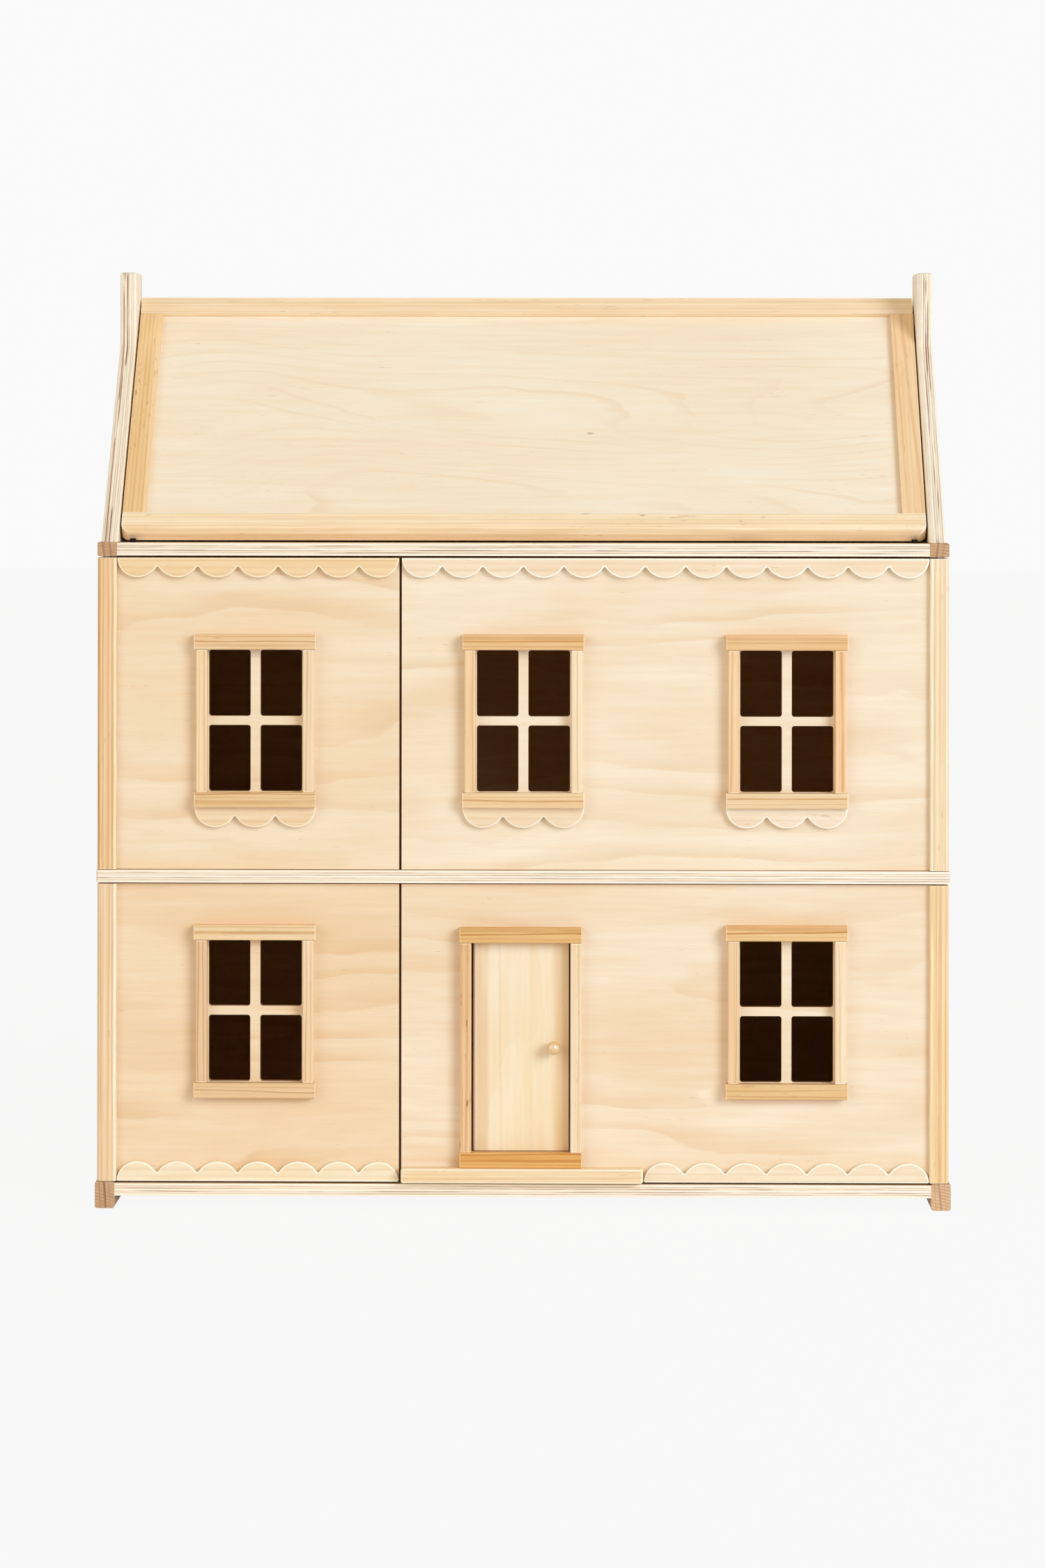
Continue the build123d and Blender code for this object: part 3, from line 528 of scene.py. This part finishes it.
def plywood(piece, look):
    look = plywoodBase | look
    marks = plywoodMarks
    turn = lie[look["grain"]]
    middle = turn @ boxMiddle(piece)
    depths = [(turn @ corner.co)[2] for corner in piece.data.vertices]
    shift = Vector((-middle[0], -middle[1], -min(depths)))
    fresh = Vector([step * look["seed"] * mm for step in marks["seedStep"]])
    material, tree, shader, place, own = startMaterial(piece.name + "_ply", turn, shift, fresh)
    veneer = useGroup(tree, veneerFigure, {"Place": own, "Lines Per Metre": look["density"],
                                           "Sweep": look["sweep"], "Line Start": look["lineStart"]})
    layers = useGroup(tree, plyLayers, {"Place": own, "Thickness": max(depths) - min(depths),
                                        "Plies": float(look["plies"])})
    bare = linear(look["bare"])
    cut = marked(tree, bare, layers["Cross"], marks["crossStrength"], shade(bare, marks["cross"]))
    cut = marked(tree, cut, veneer["Streak"], marks["cutStreakStrength"], shade(bare, marks["cutStreak"]))
    colour = mixColours(tree, layers["Edge"], veneerColour(tree, veneer, place, look, fresh), cut)
    colour = marked(tree, colour, layers["Glue"], look["glue"], linear(marks["glue"]))
    colour = marked(tree, colour, layers["Dark"], look["dark"], linear(marks["dark"]))
    if look["voids"]:
        place = linePlace(tree, piece, look["voidLie"])
        voids = drawLines(tree, place, look["voids"], 0.0, fresh, marks["voidWobble"], breaks=1.0)
        colour = marked(tree, colour, voids, layers["Edge"], linear(marks["void"]))
    height = mathNode(tree, "SUBTRACT", veneer["Fibre"], times(tree, layers["Glue"], marks["glueDepth"]))
    finishWood(tree, shader, colour, height, look)
    return material


def speckled(look):
    # Pins and pads: one colour broken by a fine speckle.
    fresh = Vector((1, 2, 3))
    material, tree, shader, _, own = startMaterial(look["name"], lie["levelFloor"], Vector(), fresh)
    spots = noise(tree, own, **look["speckle"])
    tint = linear(look["colour"])
    colour = mixColours(tree, spots, tint, shade(tint, look["spots"]))
    tree.links.new(colour, shader.inputs["Base Color"])
    roughness = mathNode(tree, "MULTIPLY_ADD", spots, look["rougher"], look["smoothest"])
    tree.links.new(roughness, shader.inputs["Roughness"])
    shader.inputs["Metallic"].default_value = look["metallic"]
    shader.inputs["Specular IOR Level"].default_value = look["specular"]
    return material


def clearSelection():
    for each in bpy.context.view_layer.objects:
        each.select_set(False)


def makeActive(piece):
    clearSelection()
    piece.select_set(True)
    bpy.context.view_layer.objects.active = piece


easing = {
    "joins": 0.002,                 # mm between corners that are one
    "flat": 0.5,                    # degrees between triangles of one face
    "sharp": 35,                    # degrees from which an edge is eased
    "smooth": 34,                   # degrees up to which shading runs on
}


def mergedCopy(source):
    # A bare copy of a node, its loose triangles joined into whole faces.
    piece = bpy.data.objects.new(source.name + "_eased", source.data.copy())
    bpy.context.scene.collection.objects.link(piece)
    piece.data.materials.clear()
    makeActive(piece)
    bpy.ops.mesh.customdata_custom_splitnormals_clear()
    bpy.ops.object.mode_set(mode="EDIT")
    bpy.ops.mesh.select_all(action="SELECT")
    bpy.ops.mesh.remove_doubles(threshold=easing["joins"] * mm)
    bpy.ops.mesh.dissolve_limited(angle_limit=radians(easing["flat"]))
    bpy.ops.object.mode_set(mode="OBJECT")
    return piece


def easeEdges(piece, ease, segments):
    # Its attribute for eased edges becomes 1 there and 0 elsewhere; pine paints these edges paler, partly as
    # sanded wood and partly as a painted highlight.
    for _ in ("faces", "eased edges"):
        piece.data.materials.append(None)
    bevel = piece.modifiers.new("easedEdges", "BEVEL")
    bevel.width = ease * mm
    bevel.segments = segments
    bevel.limit_method = "ANGLE"
    bevel.angle_limit = radians(easing["sharp"])
    bevel.use_clamp_overlap = True
    bevel.material = 1
    bpy.ops.object.modifier_apply(modifier=bevel.name)
    sandedAndHighlit = piece.data.attributes.new("sandedAndHighlit", "FLOAT", "FACE")
    for face in piece.data.polygons:
        sandedAndHighlit.data[face.index].value = float(face.material_index)
        face.material_index = 0
    piece.data.materials.clear()


def partedSolids():
    # Parts the active piece into its solids, in order of place: from the left, the front and below.
    bpy.ops.object.mode_set(mode="EDIT")
    bpy.ops.mesh.select_all(action="SELECT")
    bpy.ops.mesh.separate(type="LOOSE")
    bpy.ops.object.mode_set(mode="OBJECT")
    parts = list(bpy.context.selected_objects)
    return sorted(parts, key=lambda part: tuple(round(v, 4) for v in boxMiddle(part)))


def shadeSmooth(part):
    makeActive(part)
    bpy.ops.object.shade_smooth_by_angle(angle=radians(easing["smooth"]))
    flats = part.modifiers.new("flatFaces", "WEIGHTED_NORMAL")  # keeps broad faces flat to their edges
    flats.keep_sharp = True
    bpy.ops.object.modifier_apply(modifier=flats.name)


def dress(node, finish, looks, ease, segments=2):
    # looks is one for every solid of the node, or a list with one for each.
    source = frame["nodes"][node]
    easeEdges(mergedCopy(source), ease, segments)
    for number, part in enumerate(partedSolids()):
        shadeSmooth(part)
        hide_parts(node)
        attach(part, source["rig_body"])
        part.name = f"{node}_wood{number}"
        look = looks[number] if isinstance(looks, list) else looks
        part.data.materials.append(finish(part, look))


# Front panels
# The panels' cut edges are darker brown than plywood's own: painted shade for the gaps between the panels
panelBase = {"grain": "levelFront", "dark": 0.1, "bare": (196, 152, 106)}
panelLook = {
    "upper_left_panel": {"seed": 1, "face": (244, 225, 199), "warm": (236, 207, 167), "figure": 0.9},
    "upper_right_panel": {"seed": 2, "face": (246, 230, 207), "warm": (237, 211, 174), "figure": 0.8},
    "lower_left_panel": {"seed": 3, "face": (242, 220, 190), "warm": (234, 201, 158), "figure": 0.9},
    "lower_right_panel": {"seed": 4, "face": (245, 228, 204), "warm": (236, 207, 169), "figure": 0.75},
}
for node, look in panelLook.items():
    dress(node, plywood, panelBase | look, ease=0.5)
# The back is darker and redder than the other boards: partly its own colour, partly painted shade that
# darkens the closed rooms seen through the panes
backLook = {"grain": "levelFront", "seed": 5, "plies": 3, "face": (214, 161, 108), "warm": (198, 141, 90)}
dress("back_panel", plywood, backLook, ease=0.4)
print("panels dressed")

# Floors, walls, partitions and gables
floorBase = {"grain": "levelFloor", "dark": 0.2, "voidLie": "levelFront"}
floorLook = {
    "base_board": {"seed": 6, "ease": 1.0, "voids": [(-1.4, 0.3, 0.35, 0.0), (1.2, 0.3, 0.45, 0.0)]},
    "middle_floor": {"seed": 7, "ease": 0.8, "voids": [(0.8, 0.3, 0.3, 0.0)]},
    "attic_floor": {"seed": 8, "ease": 1.0, "dark": 0.3,
                    "voids": [(-1.8, 0.3, 0.5, 0.0), (0.6, 0.35, 0.7, 0.0), (2.2, 0.25, 0.4, 0.0)]},
}
for node, look in floorLook.items():
    dress(node, plywood, floorBase | look, look["ease"])
wallBase = {"grain": "levelSide", "plies": 7}
gableBase = wallBase | {"dark": 0.1, "face": (252, 243, 226), "warm": (248, 230, 203),
                        "voidLie": "uprightFront"}
# The partitions' cut edges are dark brown: painted shade for the deep gaps between the panels, where these
# edges show
partitionBase = {"grain": "levelSide", "bare": (160, 118, 82)}
wallLook = {
    "lower_left_side_wall": wallBase | {"seed": 9},
    "lower_right_side_wall": wallBase | {"seed": 10},
    "upper_left_side_wall": wallBase | {"seed": 11},
    "upper_right_side_wall": wallBase | {"seed": 12},
    "lower_partition": partitionBase | {"seed": 13},
    "upper_partition": partitionBase | {"seed": 14},
    "left_gable": gableBase | {
        "seed": 15, "glue": 0.5,
        "voids": [(-3.1, 0.45, 0.9, 0.0), (-2.0, 0.4, 0.8, 0.0), (-0.4, 0.5, 1.0, 0.0)]},
    "right_gable": gableBase | {
        "seed": 16, "glue": 0.6,
        "voids": [(-0.4, 0.4, 0.9, 0.0), (1.0, 0.45, 1.0, 0.0), (2.4, 0.45, 1.0, 0.0)]},
}
for node, look in wallLook.items():
    dress(node, plywood, look, ease=0.6)
print("boards dressed")

# Roof
infillLook = {"seed": 17, "face": (248, 236, 216), "warm": (243, 220, 187), "grain": "frontSlope",
              "figure": 0.6, "density": 60.0, "sweep": 13.0, "cloud": 0.4, "lineStart": 0.72}
dress("roof_infill", plywood, infillLook, ease=0.3)
dress("back_roof", plywood, infillLook | {"grain": "backSlope", "seed": 18}, ease=0.6)
railBase = {"grain": "frontSlope", "contrast": 0.3}
stileBase = {"grain": "upFrontSlope", "sandedAndHighlit": 0.3}
roofPine = {
    "roof_top_rail": railBase | {
        "tone": (253, 229, 195), "seed": 1,
        "lines": [(3.5, 1.0, 0.3, 0.4), (-2.0, 0.6, 0.25, -0.3), (-9.2, 0.6, 0.5, 0.0)]},
    "roof_bottom_rail": railBase | {
        "tone": (253, 232, 199), "seed": 2, "fleck": 0.8,
        "lines": [(-3.5, 0.5, 0.35, 0.5), (1.5, 0.7, 0.25, -0.4), (-8.0, 1.0, 0.4, -0.2)]},
    "roof_left_stile": stileBase | {
        "tone": (243, 207, 157), "seed": 3, "contrast": 0.3, "fleck": 0.8,
        # The band is a painted highlight along the stile's inner side
        "highlightBands": [(-7.4, 3.6, 0.4, 1.5)],
        "lines": [(-4.6, 0.5, 0.5, 0.3), (1.5, 0.5, 0.35, -0.4)]},
    "roof_right_stile": stileBase | {
        "tone": (247, 214, 171), "seed": 4, "contrast": 0.2,
        "lines": [(-3.0, 1.3, 0.35, 4.0), (5.0, 0.8, 0.3, 1.0)]},
    "ridge_batten": {"grain": "backSlope", "tone": (244, 214, 170), "seed": 5},
}
for node, look in roofPine.items():
    dress(node, pine, look, ease=0.6)
print("roof dressed")

# Feet and attic battens, which show their end grain at the front
endGrain = {"grain": "levelSide", "ring": 2.2, "heart": (60, 30), "contrast": 0.6, "late": (0.45, 0.36, 0.28),
            "lineLie": "uprightFront", "sandedAndHighlit": 0.5}
framePine = {
    "left_foot": {"tone": (204, 168, 137), "seed": 6,
                  "lines": [(0.4, 0.9, 0.9, -7.0), (-3.6, 0.5, 0.6, -5.0), (3.8, 0.5, 0.45, -6.0)]},
    "right_foot": {"tone": (224, 187, 150), "seed": 7,
                   "lines": [(-1.0, 0.7, 0.8, -8.0), (-4.2, 0.4, 0.5, -6.0), (3.0, 0.4, 0.45, -6.0)]},
    "left_attic_batten": {"tone": (202, 163, 128), "seed": 8,
                          "lines": [(-2.6, 0.9, 0.75, -12.0), (2.2, 0.7, 0.6, -15.0)]},
    "right_attic_batten": {"tone": (206, 167, 130), "seed": 9,
                           "lines": [(-1.5, 0.9, 0.7, 14.0), (3.2, 0.6, 0.6, 10.0)]},
}
for node, look in framePine.items():
    dress(node, pine, endGrain | look, ease=0.7)

# Posts
# Each post's band is a painted highlight along its inner edge
postBase = {"grain": "uprightFront", "ring": 3.4}
postLook = {
    "upper_left_post": {
        "tone": (241, 207, 162), "seed": 10, "highlightBands": [(5.6, 1.0, 0.9, 0.0)],
        "lines": [(-5.6, 0.9, 0.7, 0.2), (-3.2, 0.5, 0.5, 0.3), (0.8, 0.6, 0.5, -0.4), (3.6, 0.4, 0.6, 0.1)]},
    "upper_right_post": {
        "tone": (248, 225, 191), "seed": 11, "highlightBands": [(-5.6, 1.0, 0.8, 0.0)],
        "lines": [(-3.4, 0.6, 0.4, 0.2), (2.5, 0.8, 0.25, 0.2)]},
    "lower_left_post": {
        "tone": (244, 218, 184), "seed": 12, "highlightBands": [(5.6, 1.0, 0.8, 0.0)],
        "lines": [(-4.2, 0.8, 0.5, -0.5), (1.2, 0.6, 0.4, 0.6), (3.7, 0.4, 0.5, 0.1)]},
    "lower_right_post": {
        "tone": (246, 215, 170), "seed": 13, "highlightBands": [(-5.6, 1.0, 0.8, 0.0)],
        "lines": [(0.5, 1.3, 0.45, 0.3), (4.8, 0.7, 0.4, 0.2)]},
}
for node, look in postLook.items():
    dress(node, pine, postBase | look, ease=0.6)

# Scalloped strips and the step board
stripBase = {"grain": "levelFront", "ring": 5.0, "heart": (70, 40), "contrast": 0.22}
stripLook = {
    "upper_left_scalloped_frieze": {"tone": (244, 214, 172), "seed": 14, "sandedAndHighlit": 1.1},
    "upper_right_scalloped_frieze": {"tone": (247, 226, 199), "seed": 15, "sandedAndHighlit": 1.1},
    "lower_left_scalloped_skirting": {"tone": (247, 231, 203), "seed": 16, "sandedAndHighlit": 0.8},
    "lower_right_scalloped_skirting": {"tone": (245, 229, 203), "seed": 17, "sandedAndHighlit": 0.8},
    "upper_left_window_apron": {"tone": (241, 216, 180), "seed": 18, "sandedAndHighlit": 1.1},
    "upper_middle_window_apron": {"tone": (242, 219, 188), "seed": 19, "sandedAndHighlit": 1.1},
    "upper_right_window_apron": {"tone": (246, 226, 202), "seed": 20, "sandedAndHighlit": 1.1},
}
for node, look in stripLook.items():
    dress(node, pine, stripBase | look, ease=1.3)
stepLook = {"tone": (246, 224, 187), "seed": 21, "sandedAndHighlit": 0.55,
            "lines": [(1.5, 1.2, 0.35, -0.8), (-3.5, 0.7, 0.3, 0.2)]}
dress("step_board", pine, stripBase | stepLook, ease=1.5, segments=3)
print("posts and strips dressed")


def dressFrames(ending, looks, base, firstSeed, ease):
    # The two pieces at each opening, the left or lower one first.
    seedStep = 4
    for number, (opening, pair) in enumerate(looks.items()):
        seed = firstSeed + seedStep * number
        pair = [base | look | {"seed": seed + k} for k, look in enumerate(pair)]
        dress(f"{opening}_{ending}", pine, pair, ease)


# Sills and heads; growth lines run along them
levelBase = {"grain": "levelFront", "ring": 3.6, "heart": (60, 44), "contrast": 0.15}
levelLook = {
    "upper_left_window": [
        {"tone": (235, 202, 156),
         "lines": [(1.2, 1.7, 0.45, -0.6), (-4.4, 0.5, 0.9, 0.0), (-1.8, 0.4, 0.4, 0.3)]},
        {"tone": (238, 207, 166),
         "lines": [(-0.5, 0.5, 0.9, 0.2), (2.2, 1.0, 0.35, 0.1), (-4.2, 0.6, 0.5, 0.0)]}],
    "upper_middle_window": [
        {"tone": (242, 212, 170), "lines": [(0.2, 0.7, 0.85, 0.6), (-2.6, 0.4, 0.4, -0.4)]},
        {"tone": (235, 195, 144),
         "lines": [(-0.7, 0.5, 0.8, -0.3), (-3.2, 1.6, 0.4, 0.0), (3.0, 0.6, 0.4, 0.2)]}],
    "upper_right_window": [
        {"tone": (240, 210, 170), "lines": [(-1.4, 0.6, 0.8, -0.2), (2.4, 0.4, 0.4, 0.3)]},
        {"tone": (236, 197, 148), "lines": [(0.0, 0.5, 0.7, -0.2), (-2.8, 1.4, 0.35, 0.2)]}],
    "lower_left_window": [
        {"tone": (233, 201, 159), "lines": [(0.4, 0.6, 0.6, 2.6), (-2.4, 0.4, 0.45, 0.8)]},
        {"tone": (240, 212, 171), "lines": [(0.1, 1.3, 0.7, -0.4), (-4.0, 0.4, 0.5, 0.0)]}],
    "lower_right_window": [
        {"tone": (233, 196, 145), "lines": [(3.4, 0.5, 0.6, 0.2), (-1.1, 0.5, 0.5, -0.3)]},
        {"tone": (238, 200, 147),
         "lines": [(-0.8, 0.7, 0.95, -1.6), (-3.6, 1.9, 0.55, 0.0), (2.4, 0.4, 0.4, 0.4)]}],
    "door": [
        {"tone": (233, 182, 112),
         "lines": [(0.0, 1.2, 0.8, 0.0), (-2.4, 1.6, 0.3, 0.0), (-4.4, 0.6, 1.0, 0.0), (3.0, 0.5, 0.5, 0.3)]},
        {"tone": (232, 191, 132),
         "lines": [(-1.0, 0.6, 0.95, -1.6), (-3.6, 1.8, 0.6, 0.0), (2.6, 0.8, 0.4, 0.4)]}],
}
dressFrames("head_and_sill", levelLook, levelBase, firstSeed=22, ease=0.6)

# Jambs
uprightBase = {"grain": "uprightFront", "ring": 3.2, "heart": (54, 36), "contrast": 0.2}
uprightLook = {
    "upper_left_window": [
        {"tone": (246, 220, 181), "lines": [(2.2, 0.5, 0.7, -0.6), (-1.6, 0.4, 0.3, 0.3)]},
        {"tone": (243, 220, 189), "lines": [(-1.0, 0.6, 0.55, 0.8)]}],
    "upper_middle_window": [
        {"tone": (244, 212, 169), "lines": [(2.0, 0.6, 0.6, 0.3)]},
        {"tone": (246, 224, 192), "lines": [(0.5, 0.5, 0.45, -0.4)]}],
    "upper_right_window": [
        {"tone": (246, 212, 170), "lines": [(-1.5, 0.8, 0.6, 0.5)]},
        {"tone": (247, 207, 162), "lines": [(1.0, 1.2, 0.55, -0.8)]}],
    "lower_left_window": [
        {"tone": (235, 203, 167), "lines": [(-2.4, 0.6, 0.7, 0.3), (1.6, 0.6, 0.55, -0.9)]},
        {"tone": (244, 216, 182), "lines": [(-1.4, 0.7, 0.55, 0.4), (2.0, 0.4, 0.4, 0.2)]}],
    "lower_right_window": [
        {"tone": (241, 207, 167), "lines": [(1.8, 0.5, 0.45, 0.4)]},
        {"tone": (248, 224, 191), "lines": [(-0.6, 0.5, 0.4, -0.5)]}],
    "door": [
        {"tone": (236, 199, 157), "fleck": 1.0, "lines": [(0.6, 0.9, 0.5, 0.5), (-2.4, 0.5, 0.5, -0.2)]},
        {"tone": (243, 220, 188), "lines": [(1.8, 0.5, 0.4, 0.0)]}],
}
dressFrames("jambs", uprightLook, uprightBase, firstSeed=50, ease=0.8)

# Door leaf and knob
# Its line at 29.5 mm, along the right edge, is the right jamb's shadow painted on the leaf; the others are
# grain
leafLook = {"grain": "uprightFront", "seed": 19, "face": (246, 232, 208), "warm": (240, 213, 168),
            "figure": 0.7, "lines": [(-27.5, 4.5, 0.5, 0.4), (-15.0, 1.2, 0.2, -0.8),
                                     (7.5, 1.6, 0.15, 0.4), (29.5, 6.5, 0.6, 0.0)]}
dress("door_leaf", plywood, leafLook, ease=0.7)
knobLook = {"grain": "uprightFront", "tone": (232, 195, 138), "seed": 70, "ring": 1.6, "heart": (20, 8),
            "contrast": 0.25, "sandedAndHighlit": 0.0, "roughness": 0.3, "specular": 1.0, "lacquer": 1.0}
dress("door_knob", pine, knobLook, ease=0.3)
print("trim and door dressed")

# Dowels, pins and pads
dowelLook = {"grain": "uprightSide", "tone": (236, 200, 156), "seed": 71, "ring": 1.4, "heart": (20, 8)}
dress("wall_dowels", pine, dowelLook, ease=0.4)
dress("floor_dowels", pine, dowelLook | {"grain": "levelFront", "seed": 72}, ease=0.4)
speckleBase = {"spots": (0.72, 0.72, 0.72), "rougher": 0.2}
pinLook = speckleBase | {
    "name": "pinSteel", "colour": (168, 168, 172), "smoothest": 0.25, "metallic": 1.0, "specular": 0.5,
    "speckle": {"scale": 900.0, "detail": 3.0, "roughness": 0.6},
}
padLook = speckleBase | {
    "name": "padRubber", "colour": (36, 24, 18), "smoothest": 0.8, "metallic": 0.0, "specular": 0.1,
    "speckle": {"scale": 1400.0, "detail": 3.0, "roughness": 0.6},
}


def oneForAll(part, material):
    # The finish of pieces that share one material.
    return material


steel = speckled(pinLook)
for node in ("front_pivot_pins", "roof_pivot_pins", "door_pins"):
    dress(node, oneForAll, steel, ease=0.2)
dress("roof_bumpers", oneForAll, speckled(padLook), ease=0.4)
print("hardware dressed")

stageLook = {
    "backdrop": (249, 249, 249),
    "floorSize": 30.0,
    "floorGlow": 0.97,              # share of the floor's look that is plain backdrop colour
}


def seenDirectly(tree):
    rays = addNode(tree, "ShaderNodeLightPath").outputs
    seen = mathNode(tree, "MAXIMUM", rays["Is Camera Ray"], rays["Is Glossy Ray"])
    return mathNode(tree, "MAXIMUM", seen, rays["Is Transmission Ray"])


def layFloor():
    clearSelection()
    bpy.ops.mesh.primitive_plane_add(size=stageLook["floorSize"], location=(0, 0, 0))
    floor = bpy.context.object
    floor.name = "studioFloor"
    material = bpy.data.materials.new("paleFloor")
    material.use_nodes = True
    tree = material.node_tree
    shader = tree.nodes["Principled BSDF"]
    shader.inputs["Base Color"].default_value = linear(stageLook["backdrop"])
    shader.inputs["Roughness"].default_value = 1.0
    shader.inputs["Specular IOR Level"].default_value = 0.0
    glow = addNode(tree, "ShaderNodeEmission", {"Color": linear(stageLook["backdrop"]), "Strength": 1.0})
    share = times(tree, seenDirectly(tree), stageLook["floorGlow"])
    mix = addNode(tree, "ShaderNodeMixShader", {0: share, 1: shader.outputs[0], 2: glow.outputs[0]})
    tree.links.new(mix.outputs[0], tree.nodes["Material Output"].inputs["Surface"])
    floor.data.materials.append(material)


# Light: an even sky, two soft suns, and a cool panel near the right side, which fades towards the left
skyColour = (0.50, 0.455, 0.39)
sunPlace = (0, -3, 2)
sunLook = {                         # softness, turn to the right of the front and lift in degrees
    "keyLight": {"colour": (1.33, 1.41, 1.46), "softness": 30, "turn": 41, "lift": 22},
    "fillLight": {"colour": (0.60, 0.60, 0.58), "softness": 44, "turn": -44, "lift": 18},
}
sideLook = {
    "colour": (1.5, 3.1, 5.4),
    "size": 0.5,
    "place": (1.25, -1.25, 0.55),
    "aim": (0, 0, 0.35),
}


def hangSky():
    world = bpy.data.worlds.new("studio")
    bpy.context.scene.world = world
    world.use_nodes = True
    tree = world.node_tree
    sky = tree.nodes["Background"]
    sky.inputs["Color"].default_value = (*skyColour, 1.0)
    sky.inputs["Strength"].default_value = 1.0
    backdrop = addNode(tree, "ShaderNodeBackground",
                       {"Color": linear(stageLook["backdrop"]), "Strength": 1.0})
    mix = addNode(tree, "ShaderNodeMixShader", {0: seenDirectly(tree), 1: sky.outputs[0],
                                                2: backdrop.outputs[0]})
    tree.links.new(mix.outputs[0], tree.nodes["World Output"].inputs["Surface"])


def hangLamp(name, kind, place, colour):
    clearSelection()
    bpy.ops.object.light_add(type=kind, location=place)
    lamp = bpy.context.object
    lamp.name = name
    lamp.data.energy = 1.0
    lamp.data.color = colour
    return lamp


def hangLights():
    for name, look in sunLook.items():
        sun = hangLamp(name, "SUN", sunPlace, look["colour"])
        sun.data.angle = radians(look["softness"])
        sun.rotation_euler = (radians(90 - look["lift"]), 0, radians(look["turn"]))
    side = hangLamp("sideLight", "AREA", sideLook["place"], sideLook["colour"])
    side.data.size = sideLook["size"]
    aim = Vector(sideLook["aim"]) - Vector(sideLook["place"])
    side.rotation_euler = aim.to_track_quat("-Z", "Y").to_euler()


cameraLook = {
    "place": (0.0487, -3.7581, 0.5670),
    "turn": 0.0137,                 # radians, to the left
    "roll": -0.00112,
    "lens": 114.88,
    "sensor": 36,
    "shiftUp": -0.2330,
    "farthest": 60,
}


def setCamera():
    clearSelection()
    rotation = (radians(90), cameraLook["roll"], cameraLook["turn"])
    bpy.ops.object.camera_add(location=cameraLook["place"], rotation=rotation)
    camera = bpy.context.object
    camera.data.lens = cameraLook["lens"]
    camera.data.sensor_width = cameraLook["sensor"]
    camera.data.shift_y = cameraLook["shiftUp"]
    camera.data.clip_end = cameraLook["farthest"]
    bpy.context.scene.camera = camera


layFloor()
hangSky()
hangLights()
setCamera()
bpy.context.scene.view_settings.view_transform = "Standard"
print("stage set")
